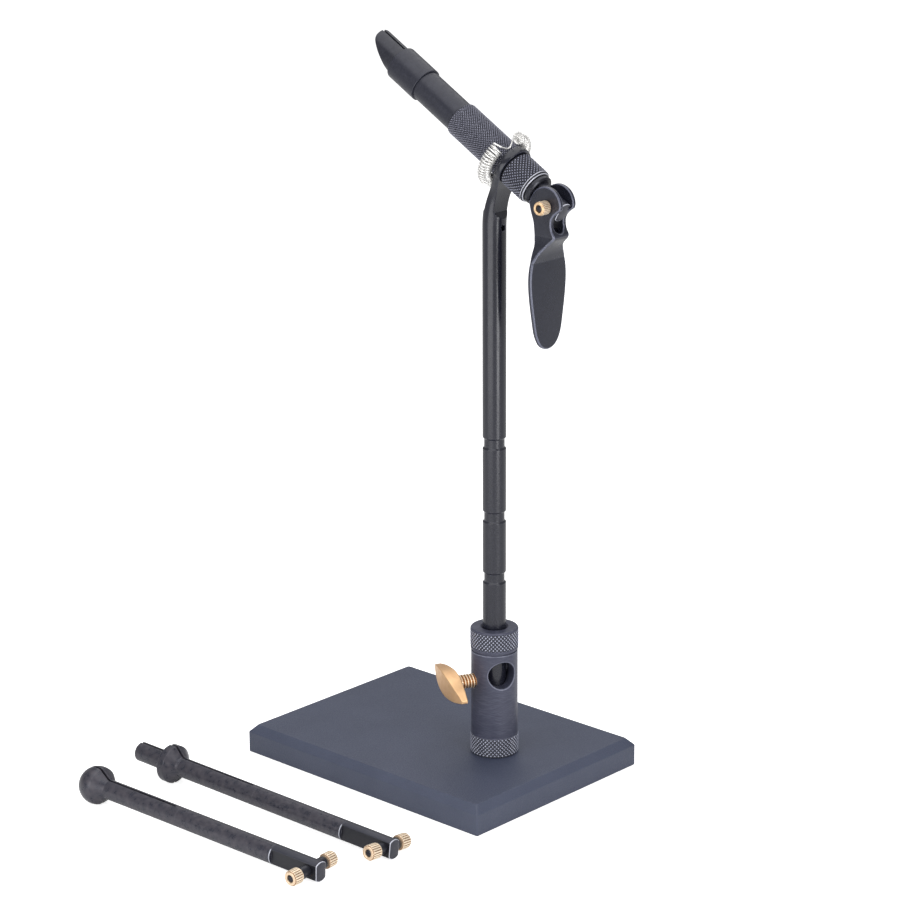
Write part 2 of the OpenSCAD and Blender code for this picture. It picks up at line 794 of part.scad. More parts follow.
module lay_tube_collet() {
    translate([tube_x, tube_y, rim_lie])
        rotate([0, 90 - rim_tilt, tube_turn])
            rotate([0, 0, tube_roll])
                children();
}

// Turned body of a spare collet, from its tang to its head, with its slot and its cut tang
module spare_body(head, head_s, end_s, tang, pin) {
    difference() {
        rotate_extrude()
            polygon(concat([[0, 0], [shank_d / 2 - foot_s, 0], [shank_d / 2, foot_s]], head));
        translate([-head_s, -jaw_slot / 2, head_s - spare_slot_l])
            cube([2 * head_s, jaw_slot, end_s - head_s + spare_slot_l + over]);
        cut_tang(0, tang, pin);
    }
}

module ball_collet() {
    r = ball_d / 2;
    seam = asin(ball_seam_back / r);
    color(oxide)
    lay_ball_collet()
        spare_body(concat(
            [[shank_d / 2, ball_at - ball_seam_back - ball_taper_l]],
            [for (k = [0 : 16]) let (a = -seam + (90 + seam) * k / 16) [r * cos(a), ball_at + r * sin(a)]]),
            ball_at, ball_at + r, ball_tang_l, pin_from_end);
}

module tube_collet() {
    face_s = rim_at + rim_l;
    end_s = face_s + tube_nose_l;
    taper_s = rim_at - rim_taper_l;
    color(oxide)
    lay_tube_collet()
        spare_body([
            [shank_d / 2, taper_s - (ring_d - shank_d) / 2], [ring_d / 2, taper_s], [rim_d / 2, rim_at],
            [rim_d / 2, face_s - edge / 2], [rim_d / 2 - edge / 2, face_s], [tube_nose_d / 2, face_s],
            [tube_nose_d / 2, end_s - edge], [tube_nose_d / 2 - edge, end_s], [0, end_s]],
            rim_at, end_s, tang_l, tube_pin_from_end);
}

// Pin, bushes and nuts on a spare collet's tang: pin is the pin's place, bush and nut are lengths
function nut_face(bush) = tang_t / 2 + bush + play;

module spare_pin(pin, bush, nut) {
    pin_at(pin, nut_face(bush) + nut - edge / 2);
}

module spare_bushes(pin, bush) {
    translate([0, 0, pin])
        for (turn = [90, -90])
            rotate([turn, 0, 0])
                difference() {
                    turned(bush_d, tang_t / 2, tang_t / 2 + bush, 0, edge / 2);
                    hole(pin_d + 2 * fit, 0, tang_t / 2 + bush + over);
                }
}

module spare_nut(pin, side, bush, nut) {
    nut_at(pin, side, nut_face(bush), spare_nut_d, nut, spare_nut_teeth);
}

module ball_collet_pin() {
    color(black)
    lay_ball_collet()
        spare_pin(pin_from_end, ball_bush_l, ball_nut_l);
}

module tube_collet_pin() {
    color(black)
    lay_tube_collet()
        spare_pin(tube_pin_from_end, tube_bush_l, tube_nut_l);
}

module ball_collet_bushes() {
    color(black)
    lay_ball_collet()
        spare_bushes(pin_from_end, ball_bush_l);
}

module tube_collet_bushes() {
    color(black)
    lay_tube_collet()
        spare_bushes(tube_pin_from_end, tube_bush_l);
}

module ball_collet_nut_left() {
    color(brass)
    lay_ball_collet()
        spare_nut(pin_from_end, 1, ball_bush_l, ball_nut_l);
}

module ball_collet_nut_right() {
    color(brass)
    lay_ball_collet()
        spare_nut(pin_from_end, -1, ball_bush_l, ball_nut_l);
}

module tube_collet_nut_left() {
    color(brass)
    lay_tube_collet()
        spare_nut(tube_pin_from_end, 1, tube_bush_l, tube_nut_l);
}

module tube_collet_nut_right() {
    color(brass)
    lay_tube_collet()
        spare_nut(tube_pin_from_end, -1, tube_bush_l, tube_nut_l);
}

base_plate();
base_bolt();
pedestal_post();
thumb_screw();
stem();
barrel_sleeve();
nose_collar();
material_spring();
adjusting_knob();
thrust_bush();
jaw_collet();
cross_pin();
pin_nut_left();
pin_nut_right();
cam_lever();
ball_collet();
ball_collet_pin();
ball_collet_bushes();
ball_collet_nut_left();
ball_collet_nut_right();
tube_collet();
tube_collet_pin();
tube_collet_bushes();
tube_collet_nut_left();
tube_collet_nut_right();
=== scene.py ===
"""Looks of a fly tying vise: a cam-lever collet vise on a pedestal base, with two spare collets.

Every piece is drawn in millimetres in the frame of its own axis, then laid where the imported
model holds the node that it stands for. Turned pieces are profiles swept round an axis, cut
pieces are smooth solids meshed from rounded distance fields, and knurls and threads are
relief on fine grids, so edges catch the light as filed or tumbled edges do.
"""

import json
import logging
import math
from dataclasses import dataclass, replace
from enum import Enum
from typing import Callable, Sequence

import bmesh
import bpy
import numpy as np
from mathutils import Matrix, Vector


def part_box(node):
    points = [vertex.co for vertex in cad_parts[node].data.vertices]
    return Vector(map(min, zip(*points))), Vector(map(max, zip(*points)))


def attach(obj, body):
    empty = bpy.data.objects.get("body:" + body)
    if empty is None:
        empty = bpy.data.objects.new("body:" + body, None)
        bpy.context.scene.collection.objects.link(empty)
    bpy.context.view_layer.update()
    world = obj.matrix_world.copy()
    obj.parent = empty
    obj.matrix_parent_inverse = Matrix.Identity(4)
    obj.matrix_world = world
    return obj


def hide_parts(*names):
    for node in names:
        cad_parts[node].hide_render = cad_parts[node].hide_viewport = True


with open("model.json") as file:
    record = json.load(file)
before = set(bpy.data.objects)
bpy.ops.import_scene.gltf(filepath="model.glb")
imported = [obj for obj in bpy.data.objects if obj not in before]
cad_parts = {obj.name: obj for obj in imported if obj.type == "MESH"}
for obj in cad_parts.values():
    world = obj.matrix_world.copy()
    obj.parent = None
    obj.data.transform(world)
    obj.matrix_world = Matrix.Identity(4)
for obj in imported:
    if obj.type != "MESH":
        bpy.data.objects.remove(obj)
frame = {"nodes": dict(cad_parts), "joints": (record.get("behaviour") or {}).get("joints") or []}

log = logging.getLogger("vise")

MM = 0.001
Grid = np.ndarray
Shell = tuple[Grid, list[tuple[int, ...]]]
Field = Callable[[Grid, Grid, Grid], Grid]
Profile = Sequence[tuple[float, float, float]]
Socket = bpy.types.NodeSocket
Skin = tuple[Socket, Socket, Socket]

# Sizes that several pieces share, in millimetres and degrees
PIN_RADIUS = 1.45
PIN_PLAY = 0.05
SHANK_RADIUS = 4.05
TANG_HALF = 2.7
JAW_SLOT = 1.0
HEAD_TILT = 29.9
# Half the width of a painted highlight line in a finish, partly standing for uncovered steel, in millimetres
BRIGHT_BAND_HALF = 0.17
# Angle above which a knurl's creases stay sharp, in degrees
KNURL_SHARP = 12
# Roughness of clear lacquer
COAT_ROUGHNESS = 0.25


class Slot(Enum):
    """Material slots of the record."""

    POWDER = "powder_coat"
    BLACK = "black_steel"
    OXIDE = "oxide_steel"
    GLOSS = "gloss_black_steel"
    BRASS = "brass"
    WIRE = "spring_wire"


# ---------------------------------------------------------------- curves and meshes


def smooth_curve(points: Sequence[tuple[float, float]], steps: int = 4) -> Grid:
    """Draws a smooth curve through points.

    Args:
        points: The points that the curve passes.
        steps: Steps between neighbouring points.

    Returns:
        The curve's points.
    """
    p = np.array(points, float)
    made = []
    for i in range(len(p) - 1):
        a, b, c, d = p[max(i - 1, 0)], p[i], p[i + 1], p[min(i + 2, len(p) - 1)]
        for t in np.arange(steps) / steps:
            made.append((2 * b + (c - a) * t + (2 * a - 5 * b + 4 * c - d) * t**2
                         + (3 * b - a - 3 * c + d) * t**3) / 2)
    made.append(p[-1])
    return np.array(made)


def rounded(profile: Profile, steps: int = 4, hold: float = 0.04) -> Grid:
    """Rounds the corners of a profile, with a close point on each side that keeps flats flat.

    Args:
        profile: Points as (radius, station, corner radius).
        steps: Steps in each corner's arc.
        hold: Distance of the close points from the arc.

    Returns:
        The rounded profile's (radius, station) points.
    """
    p = np.array([q[:2] for q in profile], float)
    made = [p[0]]
    for i in range(1, len(p) - 1):
        a, b = p[i - 1] - p[i], p[i + 1] - p[i]
        la, lb = np.linalg.norm(a), np.linalg.norm(b)
        a, b = a / la, b / lb
        half = math.acos(float(np.clip(a @ b, -1, 1))) / 2
        radius = profile[i][2]
        if radius <= 0 or half > 1.55:
            made.append(p[i])
            continue
        cut = min(radius / math.tan(half), 0.46 * la, 0.46 * lb)
        radius = cut * math.tan(half)
        middle = p[i] + (a + b) / np.linalg.norm(a + b) * radius / math.sin(half)
        start, end = p[i] + a * cut - middle, p[i] + b * cut - middle
        a0 = math.atan2(start[1], start[0])
        turn = (math.atan2(end[1], end[0]) - a0 + math.pi) % (2 * math.pi) - math.pi
        made.append(p[i] + a * min(cut + hold, 0.49 * la))
        made += [middle + radius * np.array((math.cos(a), math.sin(a)))
                 for a in (a0 + turn * k / steps for k in range(steps + 1))]
        made.append(p[i] + b * min(cut + hold, 0.49 * lb))
    made.append(p[-1])
    return np.array(made)


def grid_shell(points: Grid, wrap_rows: bool = False, flip: Grid | None = None) -> Shell:
    """Makes a shell from rows of points whose columns close on themselves.

    Args:
        points: Array of rows, columns and 3 coordinates.
        wrap_rows: Whether the last row joins the first one.
        flip: Where given, splits each square into triangles; true where the split leans back.

    Returns:
        Vertices and faces.
    """
    rows, cols = points.shape[:2]
    i = np.arange(rows if wrap_rows else rows - 1)[:, None]
    j = np.arange(cols)[None, :]
    a, b = i * cols + j, i * cols + (j + 1) % cols
    d, c = (i + 1) % rows * cols + j, (i + 1) % rows * cols + (j + 1) % cols
    if flip is None:
        faces = np.stack([a, b, c, d], -1).reshape(-1, 4)
    else:
        one = np.where(flip[..., None], np.stack([a, b, d], -1), np.stack([a, b, c], -1))
        two = np.where(flip[..., None], np.stack([b, c, d], -1), np.stack([a, c, d], -1))
        faces = np.concatenate([one.reshape(-1, 3), two.reshape(-1, 3)])
    return points.reshape(-1, 3), [tuple(f) for f in faces.tolist()]


def turned(profile: Grid, sides: int = 128, ring: bool = False) -> Shell:
    """Sweeps a profile round the local Z axis.

    Args:
        profile: (radius, station) points, from the axis to the axis or round a ring's section.
        sides: Number of sides.
        ring: Whether the profile is a closed section.

    Returns:
        Vertices and faces.
    """
    a = np.arange(sides) * 2 * math.pi / sides
    r, s = profile[:, 0:1], profile[:, 1:2]
    return grid_shell(np.stack([r * np.cos(a), r * np.sin(a), s + 0 * a], -1), ring)


def swept(path: Grid, radius: float, sides: int) -> Shell:
    """Makes a round wire along a path, with rounded ends.

    Args:
        path: Points of the wire's centre line.
        radius: Radius of the wire.
        sides: Number of sides.

    Returns:
        Vertices and faces.
    """
    way = np.gradient(path, axis=0)
    way /= np.linalg.norm(way, axis=1, keepdims=True)
    out = np.cross(way[0], (0.3, 0.5, 0.8))
    out /= np.linalg.norm(out)
    rings, a = [], np.arange(sides) * 2 * math.pi / sides
    last = len(path) - 1
    dome = ((0, 0.5), (0.6, 0.4), (0.9, 0.2))

    def ring(k: int, size: float, shift: float) -> Grid:
        """Returns one ring of the wire at point k, its size and shift given as shares of the radius."""
        side = np.cross(way[k], out)
        flat = np.outer(np.cos(a), out) + np.outer(np.sin(a), side)
        return path[k] + way[k] * (radius * shift) + (radius * size) * flat

    for k in range(last + 1):
        out = out - (out @ way[k]) * way[k]
        out /= np.linalg.norm(out)
        if k == 0:
            rings += [ring(0, size, -shift) for size, shift in dome]
        rings.append(ring(k, 1, 0))
    rings += [ring(last, size, shift) for size, shift in dome[::-1]]
    return grid_shell(np.array(rings))


def merged(*shells: Shell) -> Shell:
    """Puts several shells into one."""
    vertices, faces, base = [], [], 0
    for v, f in shells:
        vertices.append(v)
        faces += [tuple(i + base for i in face) for face in f]
        base += len(v)
    return np.concatenate(vertices), faces


def outline_distance(u: Grid, v: Grid, outline: Grid) -> Grid:
    """Measures the distance to a closed outline, below zero inside.

    Args:
        u: First coordinates.
        v: Second coordinates, of a shape that goes with the first.
        outline: The outline's points.

    Returns:
        The distances.
    """
    best, inside = np.inf, False
    for (au, av), (bu, bv) in zip(outline, np.roll(outline, -1, axis=0)):
        du, dv = bu - au, bv - av
        if du * du + dv * dv < 1e-12:
            continue
        t = np.clip(((u - au) * du + (v - av) * dv) / (du * du + dv * dv), 0, 1)
        best = np.minimum(best, (u - au - t * du) ** 2 + (v - av - t * dv) ** 2)
        if dv:
            crosses = ((av > v) != (bv > v)) & (u < du * (v - av) / dv + au)
            inside = inside ^ crosses
    return np.sqrt(best) * np.where(inside, -1, 1)


def four_fold(quarter: Grid) -> Grid:
    """Mirrors the first quarter of a ring into all four, in x and then in y."""
    flip = np.ones((2, quarter.shape[1])) - 2 * np.eye(2, quarter.shape[1])
    half = np.concatenate([quarter, quarter[-2::-1] * flip[0]])
    return np.concatenate([half, half[-2:0:-1] * flip[1]])


def both(a: Grid, b: Grid, radius: float | Grid) -> Grid:
    """Keeps what lies in both fields, with their common edge rounded."""
    corner = np.hypot(np.maximum(a + radius, 0), np.maximum(b + radius, 0))
    return np.minimum(np.maximum(a, b), -radius) + corner


def net_shell(field_at: Field, low: Sequence[float], high: Sequence[float], step: float) -> Shell:
    """Meshes the zero surface of a distance field, and pulls each vertex onto it.

    Args:
        field_at: The field, for arrays of x, y and z; below zero inside.
        low: Lowest corner of the room that is searched.
        high: Highest corner of the room that is searched.
        step: Size of the mesh's squares.

    Returns:
        Vertices and faces.
    """
    axes = [np.arange(a, b + step, step) for a, b in zip(low, high)]
    x, y, z = np.meshgrid(*axes, indexing="ij", sparse=True)
    solid_at = field_at(x, y, z) + 0 * (x + y + z) < 0
    nx, ny, nz = np.array(solid_at.shape) - 1
    count = sum(solid_at[i : i + nx, j : j + ny, k : k + nz].astype(np.int8)
                for i in (0, 1) for j in (0, 1) for k in (0, 1))
    cells = np.argwhere((count > 0) & (count < 8))
    number = np.full(count.shape, -1)
    number[tuple(cells.T)] = np.arange(len(cells))
    faces = []
    for axis in range(3):
        p, q = (axis + 1) % 3, (axis + 2) % 3
        s = np.moveaxis(solid_at, (axis, p, q), (0, 1, 2))
        n = np.moveaxis(number, (axis, p, q), (0, 1, 2))
        i, j, k = np.nonzero(s[:-1, 1:-1, 1:-1] != s[1:, 1:-1, 1:-1])
        j, k = j + 1, k + 1
        quad = np.stack([n[i, j - 1, k - 1], n[i, j, k - 1], n[i, j, k], n[i, j - 1, k]], -1)
        leaves = s[i, j, k]
        faces.append(np.where(leaves[:, None], quad, quad[:, ::-1]))
    quads = np.concatenate(faces)
    at = np.array(low) + (cells + 0.5) * step

    def pull(at: Grid, times: int) -> Grid:
        """Moves points along the field's slope onto its surface."""
        e = 0.02
        for _ in range(times):
            value = field_at(*at.T)
            change = [field_at(*(at + d).T) - field_at(*(at - d).T) for d in np.eye(3) * e]
            slope = np.stack(change, -1) / (2 * e)
            at = at - slope * (value / np.maximum((slope**2).sum(1), 0.25))[:, None].clip(-step, step)
        return at

    at = pull(at, 3)
    for _ in range(2):
        total, share = np.zeros_like(at), np.zeros(len(at))
        for c in range(4):
            for d in (1, 3):
                np.add.at(total, quads[:, c], at[quads[:, (c + d) % 4]])
                np.add.at(share, quads[:, c], 1)
        at = pull(at * 0.4 + 0.6 * total / np.maximum(share, 1)[:, None], 2)
    return at, [tuple(f) for f in quads.tolist()]


def frame_of(origin: Sequence[float], z_axis: Sequence[float], x_axis: Sequence[float]) -> Matrix:
    """Returns the matrix of a local frame, from its origin in metres and two of its axes."""
    z = Vector(z_axis).normalized()
    x = (Vector(x_axis) - z * z.dot(Vector(x_axis))).normalized()
    y = z.cross(x)
    return Matrix(((x[0], y[0], z[0], origin[0]), (x[1], y[1], z[1], origin[1]),
                   (x[2], y[2], z[2], origin[2]), (0, 0, 0, 1)))


def shift(x: float = 0, y: float = 0, z: float = 0) -> Matrix:
    """Returns a move by millimetres."""
    return Matrix.Translation((x * MM, y * MM, z * MM))


def turn_by(degrees: float, axis: str) -> Matrix:
    """Returns a turn about a local axis."""
    return Matrix.Rotation(math.radians(degrees), 4, axis)


def placed(name: str, data: bpy.types.ID, place: Matrix) -> bpy.types.Object:
    """Makes an object from its data and sets it in its place."""
    made = bpy.data.objects.new(name, data)
    bpy.context.scene.collection.objects.link(made)
    made.matrix_world = place
    return made


def solid(name: str, shell: Shell, place: Matrix, sharp: float = 35) -> bpy.types.Object:
    """Makes an object from a shell.

    Args:
        name: The object's name.
        shell: Vertices in millimetres, and faces.
        place: The local frame in the row frame.
        sharp: Angle above which an edge stays sharp, in degrees.

    Returns:
        The object.
    """
    mesh = bpy.data.meshes.new(name)
    mesh.from_pydata((shell[0] * MM).tolist(), [], shell[1])
    work = bmesh.new()
    work.from_mesh(mesh)
    bmesh.ops.remove_doubles(work, verts=work.verts, dist=2e-6)
    bmesh.ops.dissolve_degenerate(work, edges=work.edges, dist=1e-6)
    ends = [e for e in work.edges if e.is_boundary]
    if ends:
        bmesh.ops.holes_fill(work, edges=ends)
    bmesh.ops.recalc_face_normals(work, faces=work.faces)
    work.to_mesh(mesh)
    work.free()
    mesh.shade_smooth()
    mesh.set_sharp_from_angle(angle=math.radians(sharp))
    return placed(name, mesh, place)


def feel_edges(piece: bpy.types.Object) -> bpy.types.Object:
    """Stores how much each point bulges, per millimetre, as the attribute convex, which finishes use for a
    painted highlight on rounded edges.
    """
    mesh = piece.data
    at = np.array([v.co for v in mesh.vertices]) / MM
    normal = np.array([v.normal for v in mesh.vertices])
    ends = np.array([e.vertices[:] for e in mesh.edges])
    total, share = np.zeros(len(at)), np.zeros(len(at))
    for a, b in (ends.T, ends[:, ::-1].T):
        way = at[a] - at[b]
        np.add.at(total, a, 2 * (normal[a] * way).sum(1) / np.maximum((way**2).sum(1), 1e-6))
        np.add.at(share, a, 1)
    bulge = total / np.maximum(share, 1)
    total = np.zeros(len(at))
    for a, b in (ends.T, ends[:, ::-1].T):
        np.add.at(total, a, bulge[b])
    bulge = 0.5 * bulge + 0.5 * total / np.maximum(share, 1)
    mesh.attributes.new("convex", "FLOAT", "POINT").data.foreach_set("value", bulge.astype(np.float32))
    return piece


def carved(piece: bpy.types.Object, *cutters: bpy.types.Object, sharp: float = 35) -> bpy.types.Object:
    """Cuts other objects out of a piece and removes them.

    Args:
        piece: The object that is cut.
        cutters: What is cut out of it.
        sharp: Angle above which an edge stays sharp, in degrees.

    Returns:
        The piece.
    """
    for cutter in cutters:
        cut = piece.modifiers.new("cut", "BOOLEAN")
        cut.operation, cut.solver, cut.object = "DIFFERENCE", "EXACT", cutter
    bpy.context.view_layer.update()
    mesh = bpy.data.meshes.new_from_object(piece.evaluated_get(bpy.context.evaluated_depsgraph_get()))
    piece.modifiers.clear()
    piece.data = mesh
    mesh.shade_smooth()
    mesh.set_sharp_from_angle(angle=math.radians(sharp))
    for cutter in cutters:
        bpy.data.objects.remove(cutter)
    return piece


def knurl(radius: float, start: float, end: float, across: float, tall: float, depth: float,
          rim: tuple[float, float], inner: float) -> Shell:
    """Makes a sleeve with a diamond knurl whose creases lie on the mesh's edges.

    Args:
        radius: Radius over the diamonds.
        start: Station where the sleeve starts.
        end: Station where it ends.
        across: Width of a diamond.
        tall: Height of a diamond along the axis.
        depth: Depth of the valleys.
        rim: Bevels at the start and at the end.
        inner: Radius of the sleeve's plain inside.

    Returns:
        Vertices and faces.
    """
    part = 4
    count = round(2 * math.pi * radius / across)
    rows = round((end - start) / tall * 2 * part)
    i, j = np.arange(rows + 1)[:, None], np.arange(count * 2 * part)[None, :]
    s = start + (end - start) * i / rows
    u, v = (j + i) / (2 * part) % 1, (j - i) / (2 * part) % 1
    height = np.minimum(np.minimum(1 - abs(2 * u - 1), 1 - abs(2 * v - 1)), 0.75) / 0.75
    hull = radius - np.maximum(0, rim[0] - (s - start)) - np.maximum(0, rim[1] - (end - s))
    r = np.minimum(hull, radius - depth + depth * height)
    a = 2 * math.pi * j / (count * 2 * part)
    outer = np.stack([r * np.cos(a), r * np.sin(a), s + 0 * a], -1)
    edge = [np.stack([inner * np.cos(a), inner * np.sin(a), k + 0 * a], -1)[:1] for k in (start, end)]
    points = np.concatenate([edge[0], outer, edge[1]])
    back = ((i // part + j // part) % 2 == 1)
    flip = np.concatenate([back[:1], back[:-1], back[-1:], back[:1]])
    return grid_shell(points, True, flip)


def thread(radius: float, pitch: float, depth: float, start: float, end: float) -> Shell:
    """Makes a threaded rod with slightly blunt crests.

    Args:
        radius: Radius over the thread.
        pitch: Distance between crests.
        depth: Depth of the thread.
        start: Station of one end.
        end: Station of the other end.

    Returns:
        Vertices and faces.
    """
    sides = 72
    rows = round((end - start) / pitch * 18)
    i, j = np.arange(rows + 1)[:, None], np.arange(sides)[None, :]
    s, a = start + (end - start) * i / rows, 2 * math.pi * j / sides
    wave = 1 - abs(2 * ((s / pitch - j / sides) % 1) - 1)
    r = radius - depth + depth * np.clip((wave - 0.12) / 0.72, 0, 1)
    r = np.minimum(r, radius - 0.9 + np.minimum(s - start, end - s) * 1.2)
    body = np.stack([r * np.cos(a), r * np.sin(a), s + 0 * a], -1)
    ends = [np.zeros((1, sides, 3)) + (0, 0, k) for k in (start, end)]
    return grid_shell(np.concatenate([ends[0], body, ends[1]]))


# ---------------------------------------------------------------- finishes


def linear(code: str) -> tuple[float, float, float, float]:
    """Turns an sRGB hex colour into linear numbers with alpha 1."""
    parts = [int(code[i : i + 2], 16) / 255 for i in (1, 3, 5)]
    return (*[c / 12.92 if c <= 0.04045 else ((c + 0.055) / 1.055) ** 2.4 for c in parts], 1.0)


class Graph:
    """A shader node tree, filled by calls that each return an output of the node they add."""

    def __init__(self, owner: bpy.types.Material | bpy.types.World) -> None:
        """Empties the owner's tree."""
        owner.use_nodes = True
        self.tree = owner.node_tree
        self.tree.nodes.clear()

    def add(self, kind: str, inputs: dict[str | int, object], output: str | int = 0,
            **settings: object) -> Socket | None:
        """Adds a node with its settings and links.

        Args:
            kind: The node's type without ShaderNode.
            inputs: A value or an output socket for each input.
            output: The output that is wanted.
            settings: The node's properties.

        Returns:
            The output, if the node has any.
        """
        node = self.tree.nodes.new("ShaderNode" + kind)
        for name, value in settings.items():
            setattr(node, name, value)
        for key, value in inputs.items():
            if isinstance(value, Socket):
                self.tree.links.new(value, node.inputs[key])
            else:
                node.inputs[key].default_value = value
        return node.outputs[output] if node.outputs else None

    def math(self, operation: str, *values: object) -> Socket:
        """Adds a maths node."""
        return self.add("Math", dict(enumerate(values)), operation=operation)

    def ramp(self, value: Socket, low: float = 0, high: float = 1, start: float = 0,
             end: float = 1) -> Socket:
        """Maps value from low and high to start and end, and holds it there."""
        return self.add("MapRange", {0: value, 1: low, 2: high, 3: start, 4: end})

    def noise(self, at: Socket, scale: float, detail: float = 2.0) -> Socket:
        """Adds soft noise."""
        return self.add("TexNoise", {"Vector": at, "Scale": scale, "Detail": detail})

    def mix(self, share: Socket, a: object, b: object) -> Socket:
        """Mixes colour a to colour b by share."""
        return self.add("Mix", {0: share, 6: a, 7: b}, 2, data_type="RGBA")

    def part(self, vector: Socket, axis: int) -> Socket:
        """Returns one part of a vector."""
        return self.add("SeparateXYZ", {0: vector}, axis)

    def steep(self, axis: int) -> Socket:
        """Returns how much the surface faces along an axis of its object, from 0 to 1."""
        return self.math("ABSOLUTE", self.part(self.add("TexCoord", {}, "Normal"), axis))

    def seen(self, in_gloss: float) -> Socket:
        """Returns 1 where the camera looks, also through glass, and in_gloss in reflections."""
        path = {kind: self.add("LightPath", {}, kind)
                for kind in ("Is Camera Ray", "Is Transmission Ray", "Is Glossy Ray")}
        direct = self.math("MAXIMUM", path["Is Camera Ray"], path["Is Transmission Ray"])
        return self.math("MAXIMUM", direct, self.math("MULTIPLY", path["Is Glossy Ray"], in_gloss))


@dataclass(frozen=True)
class Finish:
    """A finish of one real material.

    Its fields are the name, the slot of the record, the sRGB colour and the colour of its pale
    places, metallic, roughness, the size in millimetres and height of its grain, and how much its
    edges go pale, partly from handling and partly as a painted highlight. On a knurl, crest is the
    radius over it and depth its depth; its valleys get painted shade and its crests a painted
    highlight. Bands are stations along Z where a painted highlight line starts, partly standing for
    uncovered steel, each with the least |y| that it shows at. Marks is the share of pale tool marks,
    patina that of brown cloud, flat shade that of painted shade on flats across Y, edge width the
    width of the pale edges in millimetres, rim highlight the share of painted highlight on rounded
    edges, and the edge colour that of the pale edges and lines if not pale.
    """

    name: str
    slot: Slot
    colour: str
    pale: str
    metallic: float
    roughness: float
    grain: float = 0.2
    relief: float = 0.1
    edge: float = 0.0
    coat: float = 0.0
    crest: float = 0.0
    depth: float = 0.0
    bands: tuple[tuple[float, float], ...] = ()
    marks: float = 0.15
    patina: float = 0.0
    flat_shade: float = 0.0
    rim_highlight: float = 0.0
    wear: float = 0.22
    edge_light_colour: str = ""

    def material(self) -> bpy.types.Material:
        """Returns the material, made on its first use."""
        made = bpy.data.materials.get(self.name)
        if made:
            return made
        made = bpy.data.materials.new(self.name)
        g = Graph(made)
        mm = g.add("VectorMath", {0: g.add("TexCoord", {}, "Object"), "Scale": 1 / MM}, operation="SCALE")
        colour, rough, height = self.skin(g, mm)
        normal = g.add("Bump", {"Strength": 1.0, "Distance": self.relief * MM, "Height": height})
        surface = g.add("BsdfPrincipled", {
            "Base Color": colour, "Metallic": self.metallic, "Roughness": rough, "Normal": normal,
            "Coat Weight": self.coat, "Coat Roughness": COAT_ROUGHNESS})
        g.add("OutputMaterial", {"Surface": surface}, name="Output")
        made.diffuse_color = linear(self.colour)
        return made

    def skin(self, g: Graph, mm: Socket) -> Skin:
        """Returns the colour, the roughness and the height of the relief at mm, a place on the object."""
        raise NotImplementedError

    def tinted(self, g: Graph, share: Socket) -> Socket:
        """Returns the finish's colour, gone over to pale by share."""
        return g.mix(share, linear(self.colour), linear(self.pale))

    def gloss(self, g: Graph, cloud: Socket, less: float, more: float) -> Socket:
        """Returns the roughness, which a cloud takes less below and more above its middle."""
        return g.ramp(cloud, 0.3, 0.7, self.roughness - less, self.roughness + more)

    def edge_wear_and_highlight(self, g: Graph, base: Socket, mm: Socket) -> Socket:
        """Returns base with its edges gone over to the edge colour: partly where handling thins the finish,
        partly a painted highlight, with painted highlight lines at the bands and on rounded rims.
        """
        soft = g.add("Bevel", {"Radius": self.wear * MM}, samples=6)
        flat = g.add("NewGeometry", {}, "Normal")
        same = g.add("VectorMath", {0: soft, 1: flat}, "Value", operation="DOT_PRODUCT")
        # pale edges from the bevel: partly from handling, partly a painted highlight
        mask = g.ramp(same, 0.995, 0.8, 0, self.edge)
        wall = g.ramp(g.steep(2), 0.985, 0.95)
        beside = g.math("ABSOLUTE", g.part(mm, 1))
        # painted highlight lines at the bands, partly standing for uncovered steel
        for station, least in self.bands:
            off = g.math("ABSOLUTE", g.math("SUBTRACT", g.part(mm, 2), station + BRIGHT_BAND_HALF))
            line = g.ramp(off, BRIGHT_BAND_HALF + 0.02, BRIGHT_BAND_HALF - 0.08)
            line = g.math("MULTIPLY", line, g.math("GREATER_THAN", beside, least))
            mask = g.math("MAXIMUM", mask, g.math("MULTIPLY", line, wall))
        # painted highlight on rounded edges, from the convex attribute
        if self.rim_highlight:
            convex = g.add("Attribute", {}, "Fac", attribute_name="convex")
            mask = g.math("MAXIMUM", mask, g.ramp(convex, 0.3, 0.75, 0, self.rim_highlight))
        return g.mix(mask, base, linear(self.edge_light_colour or self.pale))

    def hollow_shade_crest_light(self, g: Graph, base: Socket, mm: Socket, dark: str) -> Socket:
        """Returns base with painted shade in a knurl's or thread's valleys and a painted highlight on its
        crests.
        """
        if not self.depth:
            return base
        flat = g.add("VectorMath", {0: mm, 1: (1, 1, 0)}, operation="MULTIPLY")
        radius = g.add("VectorMath", {0: flat}, "Value", operation="LENGTH")

        def down(low: float, high: float, most: float = 1) -> Socket:
            """Returns a ramp between two shares of the depth under the crest."""
            return g.ramp(radius, self.crest - low * self.depth, self.crest - high * self.depth, 0, most)

        # painted shade in the valleys
        valley = g.math("MULTIPLY", down(0.4, 0.75, 0.96), down(1.4, 1.2))
        # painted highlight on the crests, under the painted shade of the valleys
        return g.mix(valley, g.mix(down(0.5, 0.1, 0.9), base, linear(self.pale)), linear(dark))


class PowderCoat(Finish):
    """Powder-coated steel: a thick satin skin with a fine leathery orange peel."""

    def skin(self, g: Graph, mm: Socket) -> Skin:
        """Adds the peel, a faint cloudiness, and edges where the coat is pulled thin."""
        peel = g.ramp(g.noise(mm, 1 / self.grain), 0.38, 0.66)
        fine = g.noise(mm, 3.1 / self.grain, 1.0)
        base = self.tinted(g, g.ramp(g.noise(mm, 0.06), 0.3, 0.75, 0, 0.22))
        rough = g.ramp(peel, 0, 1, self.roughness + 0.08, self.roughness - 0.06)
        return self.edge_wear_and_highlight(g, base, mm), rough, g.math("MULTIPLY_ADD", fine, 0.35, peel)


